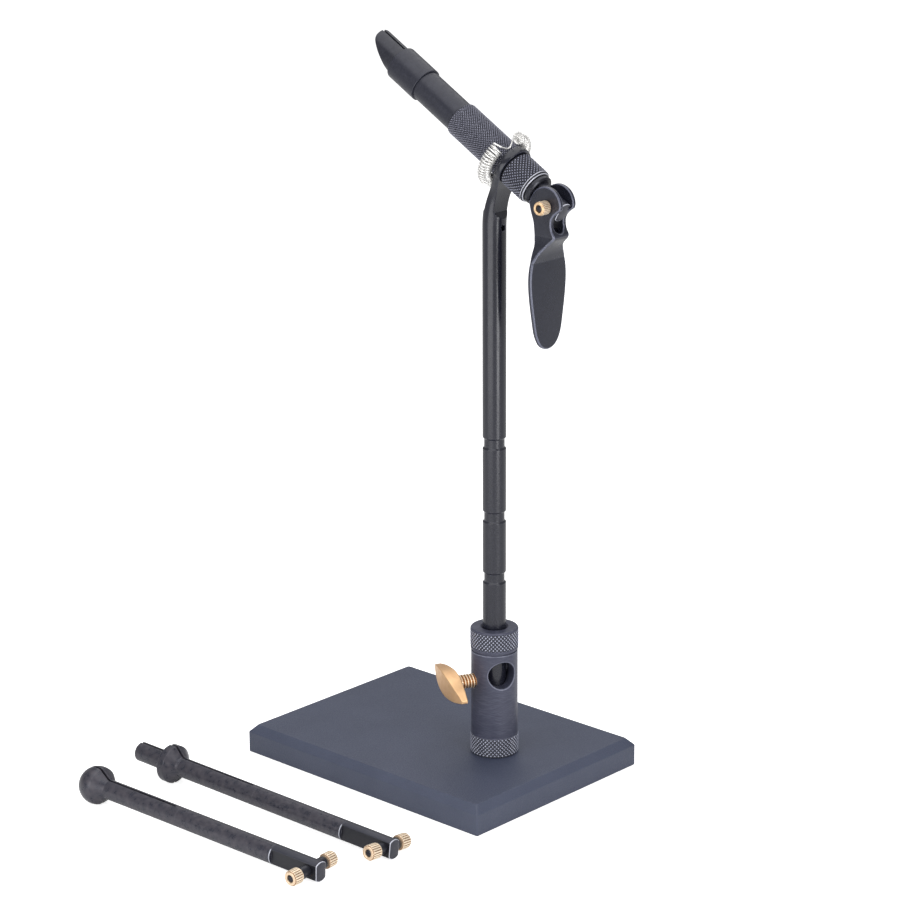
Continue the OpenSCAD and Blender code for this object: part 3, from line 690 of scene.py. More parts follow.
class BlackOxide(Finish):
    """Turned steel with a black oxide skin: satin, with fine tool marks that cross."""

    def skin(self, g: Graph, mm: Socket) -> Skin:
        """Adds tool marks round the axis, a cloudy skin, painted shade on flats and in knurl valleys, a painted
        highlight on knurl crests, and pale edges, partly scuffed steel and partly painted highlight.
        """
        angle = g.math("ARCTAN2", g.part(mm, 1), g.part(mm, 0))
        marks = []
        for lean in (0.35, -0.35):
            along = g.math("MULTIPLY_ADD", angle, 6 * lean, g.part(mm, 2))
            way = g.add("CombineXYZ", {0: g.math("MULTIPLY", angle, 0.9), 1: lean * 9, 2: along})
            marks.append(g.noise(g.add("Mapping", {0: way, 3: (1.6, 1.0, 1 / self.grain)}), 1.0))
        cross = g.math("MAXIMUM", *marks)
        cloud = g.noise(mm, 0.45, 3.0)
        base = self.tinted(g, g.ramp(cross, 0.5, 0.8, 0, self.marks))
        base = g.mix(g.ramp(cloud, 0.3, 0.75, 0, self.patina), base, linear("#6E666A"))
        # painted shade on the flats across Y
        base = g.mix(g.ramp(g.steep(1), 0.93, 0.98, 0, self.flat_shade), base, linear("#101117"))
        # painted shade in knurl valleys and a painted highlight on their crests
        base = self.hollow_shade_crest_light(g, base, mm, "#09090C")
        return self.edge_wear_and_highlight(g, base, mm), self.gloss(g, cloud, 0.06, 0.08), cross


class BlackLacquer(Finish):
    """Blackened steel under a smooth clear finish: dark, with long soft streaks of light."""

    def skin(self, g: Graph, mm: Socket) -> Skin:
        """Adds a very fine mottle, soft waves from hand polishing, and pale edges that are a painted highlight
        along rims and rounded edges.
        """
        mottle = g.noise(mm, 1 / self.grain)
        base = self.tinted(g, g.ramp(mottle, 0.4, 0.8, 0, 0.3))
        return self.edge_wear_and_highlight(g, base, mm), self.gloss(g, g.noise(mm, 0.25, 1.0), 0.03, 0.05), mottle


class SatinBrass(Finish):
    """Machined brass, tumbled to satin: warm, with fine marks, painted shade in the valleys and a painted
    highlight on the crests.
    """

    def skin(self, g: Graph, mm: Socket) -> Skin:
        """Adds a sandy grain, a cloudy tarnish, painted shade in thread and knurl valleys with a painted
        highlight on their crests, and bright edges.
        """
        cloud = g.noise(mm, 0.35, 3.0)
        base = g.mix(g.ramp(cloud, 0.35, 0.7, 0, 0.3), linear(self.colour), linear("#C99B70"))
        # painted shade in thread and knurl valleys and a painted highlight on their crests
        base = self.hollow_shade_crest_light(g, base, mm, "#8A5A34")
        return self.edge_wear_and_highlight(g, base, mm), self.gloss(g, cloud, 0.04, 0.08), g.noise(mm, 1 / self.grain)


class DrawnWire(Finish):
    """Nickelled spring wire: bright, with faint drawing marks."""

    def skin(self, g: Graph, mm: Socket) -> Skin:
        """Adds a light mottle that dims the shine here and there."""
        mottle = g.noise(mm, 1 / self.grain)
        rough = g.ramp(mottle, 0, 1, self.roughness - 0.05, self.roughness + 0.1)
        return self.tinted(g, g.ramp(mottle, 0.45, 0.7, 0, 0.5)), rough, mottle


# Powder coat: dark grey-blue, reads as satin leather. The real peel is near 0.4 mm.
BASE_COAT = PowderCoat("powder_coated_steel", Slot.POWDER, "#3C4255", "#50566A", metallic=0.0, roughness=0.5,
                       grain=0.55, relief=0.045, edge=0.3, wear=0.5)
# Black oxide on turned steel: dull grey-black; the real marks are near 0.05 mm, drawn at 0.22 mm to show.
OXIDE_STEEL = BlackOxide("black_oxide_turned_steel", Slot.OXIDE, "#282934", "#5E6173", metallic=0.2,
                         roughness=0.37, grain=0.22, relief=0.005, edge=0.35)
# The post is blasted before it is blackened, so it stays a paler grey. Its window rim and other rounded edges
# carry a painted highlight.
POST_STEEL = replace(OXIDE_STEEL, name="black_oxide_post_steel", colour="#3E4051", pale="#7A7D91",
                     roughness=0.4, grain=0.32, relief=0.014, marks=0.28, rim_highlight=0.42, edge_light_colour="#9194A6")
# The same skin on the collets, a little smoother; the tangs' cut ends get pale lines, partly uncovered steel
# and partly painted highlight.
COLLET_STEEL = BlackOxide("black_oxide_collet_steel", Slot.OXIDE, "#24252F", "#6E707B", metallic=0.2,
                          roughness=0.36, grain=0.25, relief=0.004, edge=0.35)
SPARE_STEEL = replace(COLLET_STEEL, name="black_oxide_spare_steel", colour="#2D2E39", roughness=0.3,
                      marks=0.1, patina=0.3)
# The tangs: painted shade on their flats, and painted highlight lines round the cut end and at the shoulder.
TANG_STEEL = replace(COLLET_STEEL, name="black_oxide_tang_25", colour="#2C2D38", edge=0.3, flat_shade=0.75,
                     bands=((0.0, 0.0), (25.0, 2.66)), marks=0.04, wear=0.4, edge_light_colour="#C9CBD7")
SHORT_TANG_STEEL = replace(TANG_STEEL, name="black_oxide_tang_23", bands=((0.0, 0.0), (23.0, 2.66)))
# Knurled steel: a painted highlight on the crests and painted shade in the valleys.
POST_TOP_KNURL = BlackOxide("knurled_steel_post_top", Slot.OXIDE, "#424553", "#B6B9CC", metallic=0.2,
                            roughness=0.34, grain=0.3, relief=0.003, edge=0.35, crest=9.85, depth=0.42,
                            marks=0.1)
POST_FOOT_KNURL = replace(POST_TOP_KNURL, name="knurled_steel_post_foot", crest=9.8)
GRIP_KNURL = replace(POST_TOP_KNURL, name="knurled_steel_grip", colour="#31323D", pale="#9C9DAF", crest=7.2,
                     depth=0.32)
KNOB_KNURL = replace(POST_TOP_KNURL, name="knurled_steel_knob", colour="#292A35", pale="#8F91A3", crest=7.4)
# The knob's turned rim: painted highlight lines along its two ridges, and a painted highlight on its edges.
RIM_STEEL = BlackOxide("black_oxide_knob_rim", Slot.OXIDE, "#1D1E24", "#6C6E7A", metallic=0.3, roughness=0.3,
                       grain=0.2, relief=0.003, edge=0.95, bands=((-14.1, 0.0), (-13.25, 0.0)), marks=0.05,
                       wear=0.42, edge_light_colour="#C4C6D2")
# Blackened and lacquered rod: near black, with long soft streaks of light; its rims, such as the eye's, carry a
# painted highlight.
ROD_BLACK = BlackLacquer("blackened_rod_steel", Slot.GLOSS, "#1C1D27", "#303242", metallic=0.1, roughness=0.22,
                         grain=0.3, relief=0.0015, edge=0.6, coat=0.1, wear=0.4, edge_light_colour="#6A6D80")
# The lever is cast and tumbled before it is blackened, so its skin is softer; its rounded edges and rims carry
# a painted highlight.
LEVER_BLACK = BlackLacquer("blackened_cast_steel", Slot.GLOSS, "#1D1F2B", "#444655", metallic=0.1,
                           roughness=0.28, grain=0.35, relief=0.003, edge=0.8, coat=0.1, rim_highlight=0.5,
                           edge_light_colour="#7E8196")
# Small dark steel parts: pins, bushes, bolt and flange.
PIN_BLACK = BlackOxide("black_pin_steel", Slot.BLACK, "#22232B", "#7C7F8E", metallic=0.4, roughness=0.3,
                       grain=0.2, relief=0.003, edge=0.6)
# Brass, machined and tumbled: warm satin.
BRASS = SatinBrass("satin_machined_brass", Slot.BRASS, "#E2B98C", "#FBEBD2", metallic=0.85, roughness=0.36,
                   grain=0.25, relief=0.006, edge=0.8)
# The thread: painted shade in its valleys and a painted highlight on its crests.
THREAD_BRASS = replace(BRASS, name="threaded_brass", colour="#E8B981", crest=3.0, depth=0.55)
# The nuts are paler from fine blasting, with a straight knurl that gets painted shade between its teeth and a
# painted highlight on them.
NUT_BRASS = replace(BRASS, name="knurled_brass_nut", colour="#EBD3B6", metallic=0.55, crest=3.1, depth=0.3,
                    wear=0.3)
LEVER_NUT_BRASS = replace(NUT_BRASS, name="knurled_brass_lever_nut", colour="#E8C79C", crest=2.7, depth=0.13)
# Nickelled spring wire: nearly white where the light falls on it.
WIRE = DrawnWire("nickelled_spring_wire", Slot.WIRE, "#F4F3F1", "#B4B2B0", metallic=0.72, roughness=0.22,
                 grain=0.4, relief=0.002)


# ---------------------------------------------------------------- pieces


@dataclass
class SubAssembly:
    """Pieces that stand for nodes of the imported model."""

    def shown(self, piece: bpy.types.Object, body: str, finish: Finish, *nodes: str) -> bpy.types.Object:
        """Dresses a piece, sets it on its body, and lets it stand for nodes.

        Args:
            piece: The piece, in its place.
            body: The body that it rides on.
            finish: Its finish.
            nodes: The nodes that it stands for.

        Returns:
            The piece.
        """
        piece.data.materials.clear()
        piece.data.materials.append(finish.material())
        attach(piece, body)
        if nodes:
            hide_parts(*nodes)
        log.info("%s on %s: %d vertices", piece.name, body, len(piece.data.vertices))
        return piece

    def lathe(self, name: str, profile: Profile, place: Matrix, body: str, finish: Finish, *nodes: str,
              sides: int = 144, steps: int = 4, hollow: bool = False) -> None:
        """Turns a profile and shows the piece.

        Args:
            name: The piece's name.
            profile: Points as (radius, station, corner radius).
            place: The axis that it is turned round, as the frame's Z.
            body: The body that it rides on.
            finish: Its finish.
            nodes: The nodes that it stands for.
            sides: Number of sides.
            steps: Steps in each corner's arc.
            hollow: Whether the profile is the section of a ring, and closes on its first point.
        """
        points = rounded([*profile, profile[0]] if hollow else profile, steps)
        self.shown(solid(name, turned(points, sides, hollow), place), body, finish, *nodes)

    def knurled(self, name: str, radius: float, span: tuple[float, float], diamond: tuple[float, float],
                rims: tuple[float, float], wall: float, place: Matrix, body: str, finish: Finish) -> None:
        """Shows a knurled sleeve whose creases stay sharp, as deep as its finish says.

        Args:
            name: The piece's name.
            radius: Radius over the diamonds.
            span: Stations where the sleeve starts and ends.
            diamond: Width and height of a diamond.
            rims: Bevels at the start and at the end.
            wall: Thickness of the sleeve.
            place: Its axis, as the frame's Z.
            body: The body that it rides on.
            finish: Its finish.
        """
        sleeve = knurl(radius, *span, *diamond, finish.depth, rims, radius - wall)
        self.shown(solid(name, sleeve, place, KNURL_SHARP), body, finish)

    def build(self) -> None:
        """Builds the pieces."""
        raise NotImplementedError


def joint(name: str) -> dict:
    """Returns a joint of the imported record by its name."""
    return next(j for j in frame["joints"] if j["name"] == name)


def cylinder(name: str, radius: float, start: float, end: float, place: Matrix,
             flare: float = 0) -> bpy.types.Object:
    """Makes a plain round cutter, with a flare at both ends if flare is above zero."""
    rim = radius + flare
    points = [(0, start), (rim, start), (radius, start + flare), (radius, end - flare), (rim, end), (0, end)]
    return solid(name, turned(np.array(points), 64), place)


@dataclass
class BasePlate(SubAssembly):
    """The powder-coated base plate and the bolt that holds the post, in millimetres."""

    bevel: float = 2.8
    bevel_depth: float = 3.1
    corner: float = 0.7
    recess: float = 14.6
    hole: float = 8.0
    recess_depth: float = 6.0
    lid: float = 40.0

    def build(self) -> None:
        """Builds the plate from rounded rings, with its hole for the bolt."""
        low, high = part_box("base_plate")
        hx, hy, top = high.x / MM, high.y / MM, high.z / MM
        section = [(self.lid, 0, 0), (0.0, 0, 0.4), (0.0, top - self.bevel_depth, 0.55),
                   (self.bevel, top, 0.6), (self.lid, top, 0)]
        rings = []
        for inset, z in rounded(section, 5, 0.15):
            inset = min(inset, min(hx, hy) - 2)
            a, b = hx - inset, hy - inset
            c = self.corner + inset * 0.12
            turns = np.linspace(0, math.pi / 2, 6)
            quarter = np.stack([a - c + c * np.cos(turns), b - c + c * np.sin(turns)], -1)
            loop = np.concatenate([quarter, (quarter * (-1, 1))[::-1], -quarter, (quarter * (1, -1))[::-1]])
            rings.append(np.column_stack([loop, np.full(len(loop), z)]))
        plate = solid("base_plate_coated", grid_shell(np.array(rings)), Matrix.Identity(4), 40)
        x, y, _ = joint("post_turn")["pos_m"]
        post = Matrix.Translation((x, y, 0))
        hole = cylinder("hole", self.hole / 2, -2, top + 2, post)
        recess = cylinder("recess", self.recess / 2, -2, self.recess_depth, post)
        carved(plate, hole, recess)
        self.shown(plate, "base", BASE_COAT, "base_plate")
        bolt = frame["nodes"]["base_bolt"]
        bolt.data.materials.clear()
        bolt.data.materials.append(PIN_BLACK.material())


@dataclass
class Post(SubAssembly):
    """The pedestal post: a bored body with a sight window, and two knurled bands."""

    height: float = 54.3
    radius: float = 9.525
    foot_radius: float = 9.8
    foot_h: float = 8.5
    top_radius: float = 9.85
    top_h: float = 9.1
    plain_h: float = 0.9
    crown_h: float = 0.85
    bore: float = 9.6
    floor: float = 12.8
    bolt_bore: float = 8.0
    bolt_depth: float = 11.6
    mouth: float = 0.95
    window: float = 11.4
    window_up: float = 35.7
    window_turn: float = 154
    screw_bore: float = 6.1
    screw_up: float = 31.9
    screw_turn: float = 64
    rim: float = 0.4
    screw_rim: float = 0.25
    diamond: tuple[float, float] = (1.6, 1.66)

    def body_at(self, x: Grid, y: Grid, z: Grid) -> Grid:
        """Field of the plain body between the bands, with its bore, window and tapped hole."""
        r = np.hypot(x, y)
        low, high = self.foot_h - 0.5, self.height - self.top_h - 0.9
        made = both(r - self.radius, np.maximum(low - z, z - high), 0.05)
        made = np.maximum(made, -(np.maximum(r - self.bore / 2, self.floor - z)))
        for size, up, turn, rim in ((self.window, self.window_up, self.window_turn, self.rim),
                                    (self.screw_bore, self.screw_up, self.screw_turn, self.screw_rim)):
            a = math.radians(turn)
            side, out = y * math.cos(a) - x * math.sin(a), x * math.cos(a) + y * math.sin(a)
            tube = np.maximum(np.hypot(side, z - up) - size / 2, -out)
            made = both(made, -tube, rim)
        return made

    def build(self) -> None:
        """Builds the body, the crown, the foot and the knurled bands."""
        place = Matrix.Translation(joint("post_turn")["pos_m"])
        h, band, reach = self.height, self.height - self.top_h, self.radius + 1
        body = net_shell(self.body_at, (-reach, -reach, self.foot_h - 1.5), (reach, reach, band + 1),
                         0.28)
        self.shown(feel_edges(solid("post_body", body, place, 40)), "post", POST_STEEL, "pedestal_post")
        bore, r, t = self.bore / 2, self.radius, self.top_radius
        low, high = band + self.plain_h, h - self.crown_h
        self.lathe("post_crown", [
            (bore, band - 1.2, 0), (r - 0.5, band - 1.2, 0), (r - 0.5, band, 0.1), (t - 0.1, band, 0.15),
            (t - 0.1, low, 0.1), (t - 0.6, low + 0.3, 0.05), (t - 0.6, high - 0.3, 0.05), (t, high, 0.2),
            (t - 0.1, h - 0.55, 0.3), (t - 0.42, h - 0.14, 0.35), (t - 1.1, h, 0.45),
            (bore + self.mouth, h, 0.25), (bore, h - self.mouth, 0.25)],
            place, "post", POST_STEEL, sides=160, steps=5, hollow=True)
        f, top, hole = self.foot_radius, self.foot_h, self.bolt_bore / 2
        self.lathe("post_foot", [
            (0, self.bolt_depth, 0), (hole, self.bolt_depth, 0), (hole, 0, 0.2), (f - 0.75, 0, 0.2),
            (f - 0.6, 0.4, 0.1), (f - 0.6, top - 0.3, 0.1), (r - 0.02, top, 0.1), (r - 0.02, top + 0.8, 0),
            (6, self.floor, 0), (0, self.floor, 0)], place, "post", POST_STEEL, sides=160)
        for name, size, start, end, rims, finish in (
                ("post_top_knurl", t, low, high, (0.3, 0.1), POST_TOP_KNURL),
                ("post_foot_knurl", f, 0.15, top, (0.5, 0.35), POST_FOOT_KNURL)):
            self.knurled(name, size, (start, end), self.diamond, rims, 1, place, "post", finish)


@dataclass
class ThumbScrew(SubAssembly):
    """The brass thumb screw: a threaded shank and a cast wing."""

    radius: float = 3.0
    pitch: float = 1.27
    thread_depth: float = 0.55
    tip: float = 4.9
    wing_at: float = 16.425
    half: float = 15.5
    depth: float = 5.9
    tip_depth: float = 2.6
    thick: float = 9.1
    tip_thick: float = 1.3
    turn: float = 10
    hub: float = 3.0
    edge: float = 0.3

    def wing_at_field(self, x: Grid, y: Grid, z: Grid) -> Grid:
        """Field of the wing, with its width along x and its thickness along y."""
        bow = self.depth * 0.35
        tip_s = self.depth - bow
        ends = smooth_curve([(-self.half, tip_s), (-self.half / 2, tip_s + bow * 0.75), (0, tip_s + bow),
                             (self.half / 2, tip_s + bow * 0.75), (self.half, tip_s)], 4)
        side = np.concatenate([[(self.hub, 0), (-self.hub, 0), (-self.half, tip_s - self.tip_depth)], ends,
                               [(self.half, tip_s - self.tip_depth)]])
        rise = (self.thick - self.tip_thick) / 2
        u = np.linspace(-self.half, self.half, 17)
        lens = self.tip_thick / 2 + rise * (1 - (u / self.half) ** 2)
        face = np.concatenate([np.stack([u, lens], -1), np.stack([u[::-1], -lens[::-1]], -1)])
        return both(outline_distance(x, z, side), outline_distance(x, y, face), self.edge)

    def build(self) -> None:
        """Builds the shank and the wing."""
        turn = joint("screw_turn")
        place = frame_of(turn["pos_m"], turn["axis"], (0, 0, -1))
        shank = thread(self.radius, self.pitch, self.thread_depth, self.tip, self.wing_at + 1.5)
        self.shown(solid("thumb_screw_shank", shank, place, 28), "clamp_screw", THREAD_BRASS, "thumb_screw")
        wing = net_shell(self.wing_at_field, (-self.half - 1, -self.thick / 2 - 1, -1),
                         (self.half + 1, self.thick / 2 + 1, self.depth + 1), 0.2)
        lean = place @ shift(z=self.wing_at) @ turn_by(90 - self.turn, "Z")
        self.shown(solid("thumb_screw_wing", wing, lean, 50), "clamp_screw", BRASS)


@dataclass
class Stem(SubAssembly):
    """The blackened rod: grooved, bent back, and flattened into the eye that carries the barrel."""

    radius: float = 4.75
    hold: float = 28.7
    post_top: float = 66.3
    post_x: float = -30.2
    bend_radius: float = 34.0
    eye_back: float = 9.2
    eye_radius: float = 8.35
    eye_half: float = 1.65
    neck_half: float = 2.45
    ledge_down: float = 18.2
    shoulder: float = -19
    foot: float = 0.6
    hole_radius: float = 5.55
    groove_radius: float = 4.15
    groove_l: float = 3.4
    grooves_up: tuple[float, ...] = (21.3, 47.1, 77.7)
    side_hole: float = 1.25
    side_hole_down: float = 25.0

    def __post_init__(self) -> None:
        """Finds the rod's bend, ledge and floor. Stations run up the rod, from the eye's centre."""
        self.eye = Vector(joint("barrel_turn")["pos_m"]) / MM
        self.tilt = math.radians(HEAD_TILT)
        leg = self.eye_back / math.sin(self.tilt)
        bend_leg = self.bend_radius * math.tan(self.tilt / 2)
        self.bend_z = self.eye.z - leg * math.cos(self.tilt) - bend_leg
        self.straight, self.arc = leg - bend_leg, self.bend_radius * self.tilt
        ledge = math.asin((self.eye.z - self.ledge_down - self.bend_z) / self.bend_radius)
        self.ledge_s = -self.straight - self.bend_radius * (self.tilt - ledge)
        self.floor_s = self.post_top - self.hold - self.bend_z - self.straight - self.arc

    def path(self, s: float) -> tuple[Grid, Grid]:
        """Returns the rod's centre in the side view at station s, and its direction."""
        if s > -self.straight:
            a = self.tilt
            c = np.array((self.eye.x - s * math.sin(a), self.eye.z + s * math.cos(a)))
        elif s > -self.straight - self.arc:
            a = self.tilt - (-self.straight - s) / self.bend_radius
            c = np.array((self.post_x - self.bend_radius + self.bend_radius * math.cos(a),
                          self.bend_z + self.bend_radius * math.sin(a)))
        else:
            a, c = 0.0, np.array((self.post_x, self.bend_z + s + self.straight + self.arc))
        return c, np.array((-math.sin(a), math.cos(a)))

    def half_at(self, s: float) -> float:
        """Returns half the thickness at station s."""
        slope = (self.radius + 0.6 - self.neck_half) / 3.0
        if s < self.ledge_s:
            return min(self.neck_half + (self.ledge_s - s) * slope, 2 * self.radius)
        return float(np.interp(s, (self.ledge_s, -self.straight), (self.neck_half, self.eye_half)))

    def eye_outline(self) -> tuple[Grid, Grid]:
        """Returns half the outline of the eye and its neck in the front view, and its inward directions."""
        turns = np.radians(np.concatenate([np.arange(-30, 78, 4), np.array([78, 82, 85, 87.5, 89, 90])]))
        upper = [(self.eye_radius * math.cos(a), self.eye_radius * math.sin(a)) for a in turns]
        fillet = smooth_curve([(self.radius, self.shoulder), (self.radius, -14.2), (5.23, -10.86), (6.27, -7.5),
                               upper[0]], 8)
        outline = np.concatenate([fillet[:-1], upper])
        slopes = np.gradient(outline, axis=0)
        inward = np.stack([-slopes[:, 1], slopes[:, 0]], -1)
        inward /= np.linalg.norm(inward, axis=1, keepdims=True)
        inward[-1] = (0, -1)
        return outline, inward

    def rod_levels(self) -> tuple[list[float], dict[float, float]]:
        """Returns the stations of the plain rod's rings, and the radius at those of the grooves."""
        levels = {self.floor_s + up for up in (0, 0.15, 0.4, self.foot)}
        levels |= set(np.arange(self.floor_s + 1, self.shoulder, 1.0))
        levels |= set(np.arange(self.ledge_s - 4, self.ledge_s + 1.2, 0.2)) | {self.shoulder - 0.6}
        radius_at = {}
        r, low = self.radius, self.groove_radius
        for up in self.grooves_up:
            z, half = self.post_top + up, self.groove_l / 2
            profile = rounded([(r, z - half - 2, 0), (r, z - half - (r - low), 0.25), (low, z - half, 0.15),
                               (low, z + half, 0.15), (r, z + half + (r - low), 0.25), (r, z + half + 2, 0)], 4)
            zs = profile[:, 1] - self.bend_z - self.straight - self.arc
            levels = {s for s in levels if not zs[0] < s < zs[-1]} | set(zs)
            radius_at |= {round(s, 4): size for s, size in zip(zs, profile[:, 0])}
        return sorted(levels), radius_at

    def ring(self, s: float, x: float, way: Sequence[float], scale: float) -> Grid:
        """Returns one ring round the rod.

        Args:
            s: Its station.
            x: Half its width there.
            way: The outline's inward direction in the front view.
            scale: Its size as a share of the rod's.

        Returns:
            The ring's points in the row frame, in millimetres.
        """
        r, half = self.radius, self.half_at(s)
        edge = math.asin(min(half, self.neck_half) / r)
        rim, face = np.array([0, 0.3, 0.6, 0.82, 0.93, 1.0]), np.array([0.06, 0.14, 0.3, 0.5, 0.7, 0.86, 1.0])
        turn = np.concatenate([edge * rim, edge + (math.pi / 2 - edge) * face])
        y = r * np.sin(turn)
        gap = half - y
        y = np.where(abs(gap) < 0.3, y - (0.3 - gap) ** 2 / 1.2, np.where(gap < 0, half, y)) * scale
        inset = r * (1 - np.cos(edge))
        side = r * (1 - np.cos(np.minimum(turn, edge)))
        run = np.where(turn > edge, np.cos(turn) / math.cos(edge), 1.0)
        px = (x * scale + way[0] * side * scale) * run
        ps = s + way[1] * np.where(turn > edge, inset, side)
        made = []
        for a, b, c in four_fold(np.stack([px, y, ps], -1)):
            centre, up = self.path(c)
            point = centre + np.array((up[1], -up[0])) * b
            made.append((point[0], a, point[1]))
        return np.array(made)

    def build(self) -> None:
        """Builds the rod as one sweep and drills it."""
        levels, radius_at = self.rod_levels()
        rings = []
        for s in levels:
            scale = radius_at.get(round(s, 4), self.radius) / self.radius
            if s < self.floor_s + self.foot:
                scale -= (self.floor_s + self.foot - s) / self.radius
            rings.append(self.ring(s, self.radius, (-1.0, 0.0), scale))
        rings += [self.ring(s, x, way, 1.0) for (x, s), way in zip(*self.eye_outline()) if s > self.shoulder]
        rod = solid("stem_rod", grid_shell(np.array(rings)), Matrix.Identity(4), 30)
        bore = cylinder("bore", self.hole_radius, -9, 9,
                        frame_of(self.eye * MM, joint("barrel_turn")["axis"], (0, 1, 0)))
        across = frame_of((self.post_x * MM, 0, (self.eye.z - self.side_hole_down) * MM), (1, 0, 0), (0, 1, 0))
        drill = cylinder("drill", self.side_hole, -self.radius - 0.02, self.radius + 0.02, across, 0.22)
        self.shown(carved(rod, bore, drill, sharp=30), "stem", ROD_BLACK, "stem")


@dataclass
class Head(SubAssembly):
    """The tilted head: barrel, nose collar, jaws, knob, thrust flange and the material spring."""

    grip_radius: float = 7.2
    barrel_radius: float = 6.45
    journal_radius: float = 5.5
    thread_radius: float = 5.1
    bore_radius: float = 4.1
    nose_radius: float = 7.15
    knob_radius: float = 7.4
    flange_radius: float = 6.3
    grip: tuple[float, float] = (1.8, 31.0)
    nose: tuple[float, float] = (52.3, 67.7)
    knob: tuple[float, float] = (-14.2, -1.8)
    flange: float = -16.4
    spigot_end: float = 59.2
    jaw_radius: float = 5.95
    jaw_end: float = 82.0
    tang_l: float = 25.0
    tang_end: float = -29.75
    pin: float = -24.95
    grip_diamond: float = 1.06
    knob_diamond: float = 1.55
    wall: float = 1.2
    wire: float = 0.31
    coil_radius: float = 2.4
    ring_radius: float = 10.05
    slack: float = 0.15
    curls: float = 46.9
    gap: float = 63.5
    ring_turn: float = -16.3
    tail: tuple[tuple[float, float, float], ...] = (
        (-8.0, 7.9, 3.7), (-7.15, 5.1, 2.9), (-6.97, 3.75, 2.7), (-7.5, 2.8, 2.8), (-9.0, 2.55, 3.0),
        (-11.5, 2.75, 3.2), (-13.8, 3.05, 3.3))

    def place(self) -> Matrix:
        """Returns the head's frame: Z along the barrel, -X up, from the eye's centre."""
        turn = joint("barrel_turn")
        return frame_of(turn["pos_m"], turn["axis"], (0, 0, -1))

    def barrel(self) -> None:
        """Builds the smooth barrel, the knurled grip and the nose collar."""
        place, b, s = self.place(), self.bore_radius, self.spigot_end
        (g0, g1), (n0, n1), (k0, k1) = self.grip, self.nose, self.knob
        big, r, j, t = self.grip_radius, self.barrel_radius, self.journal_radius, self.thread_radius
        self.lathe("barrel_core", [
            (b, k0 + 0.2, 0), (t, k0 + 0.2, 0.2), (t, k1, 0), (j, k1, 0), (j, g0, 0),
            (big - 0.5, g0 + 0.1, 0.1), (big - 0.5, g1 - 1.2, 0.05), (r, g1 - 0.1, 0.1), (r, n0, 0.12),
            (t, n0, 0), (t, s, 0.2), (b, s, 0)],
            place, "barrel", OXIDE_STEEL, "barrel_sleeve", hollow=True)
        self.knurled("barrel_grip_knurl", big, (g0, g1 - 0.1), (self.grip_diamond,) * 2, (0.35, 0.75),
                     self.wall, place, "barrel", GRIP_KNURL)
        mouth, inner, outer = self.jaw_radius + 0.3, t + 0.05, self.nose_radius
        self.lathe("nose_collar_turned", [
            (inner, n0 + 0.03, 0), (outer, n0 + 0.03, 0.25), (outer, n1, 0.55), (mouth, n1, 0.2),
            (mouth, n1 - 4, 0.2), (b, n1 - 6.1, 0.2), (b, s + 0.1, 0), (inner, s, 0)],
            place, "barrel", OXIDE_STEEL, "nose_collar", hollow=True)

    def adjuster(self) -> None:
        """Builds the knurled knob with its rim, and the flange behind it."""
        place, (k0, k1), r, inner = self.place(), self.knob, self.knob_radius, self.thread_radius + 0.05
        self.lathe("knob_core", [
            (inner, k0, 0), (r - 1.0, k0, 0.15), (r - 0.62, k0 + 0.25, 0.12), (r - 0.12, k0 + 1.0, 0.2),
            (r - 0.12, k0 + 1.35, 0.1), (r - 0.6, k0 + 1.6, 0.05), (r - 0.6, k1 - 0.3, 0.05),
            (r - 0.75, k1, 0.1), (inner, k1, 0)],
            place, "knob", RIM_STEEL, "adjusting_knob", hollow=True)
        self.knurled("knob_knurl", r, (k0 + 1.35, k1), (self.knob_diamond,) * 2, (0.2, 0.6), self.wall,
                     place, "knob", KNOB_KNURL)
        f, b, w = self.flange, self.bore_radius, self.flange_radius
        self.lathe("thrust_flange", [
            (b, f, 0), (w - 0.6, f, 0.2), (w, f + 0.6, 0.2), (w, k0 - 0.35, 0.15), (w - 0.5, k0 - 0.2, 0.1),
            (w - 0.5, k0, 0), (b, k0, 0)], place, "knob", PIN_BLACK, "thrust_bush", sides=128, hollow=True)

    def jaws_at(self, x: Grid, y: Grid, z: Grid) -> Grid:
        """Field of the split jaws, whose underside is ground off in a slant."""
        r, n1, out = self.jaw_radius, self.nose[1], self.jaw_end - self.nose[1]
        shares = [(1, 0), (0.57, 0.22), (0.22, 0.42), (-0.11, 0.63), (-0.46, 0.85), (-0.68, 0.94),
                  (-0.9, 0.98), (-1, 1)]
        slant = smooth_curve([(r * a, n1 + out * b) for a, b in shares])
        ground = np.concatenate([[(2 * r, n1 - out / 2), (r * 1.2, n1 - out * 0.1)], slant,
                                 [(-r * 1.6, self.jaw_end + 2), (2 * r, self.jaw_end + 2)]])
        radius = np.hypot(x, y)
        cone = (radius - SHANK_RADIUS - np.maximum(z - (n1 - 6), 0)) * 0.72
        made = np.maximum(np.maximum(radius - r, cone), self.grip[1] + 20 - z)
        made = both(made, -outline_distance(x, z, ground), 0.35)
        return both(made, JAW_SLOT / 2 - abs(y) + 0 * (x + z), 0.14)

    def jaws(self) -> None:
        """Builds the jaws, the shank, the tang and the cross pin."""
        place, n1, end = self.place(), self.nose[1], self.tang_end
        r = self.jaw_radius + 0.6
        front = net_shell(self.jaws_at, (-r, -r, n1 - 9), (r, r, self.jaw_end + 0.6),
                          0.16)
        self.shown(solid("jaws", front, place, 40), "collet", COLLET_STEEL, "jaw_collet")
        r, start = SHANK_RADIUS - 0.03, end + self.tang_l + 0.5
        self.lathe("jaw_shank", [(0, start, 0), (r, start, 0), (r, n1 - 8, 0), (0, n1 - 8, 0)], place, "collet",
                   COLLET_STEEL, sides=96)
        foot = place @ shift(z=end)
        self.shown(tang_piece("jaw_tang", foot, self.tang_l, self.pin - end), "collet", TANG_STEEL)
        cross_pin(self, "cross_pin", place, self.pin, "collet")

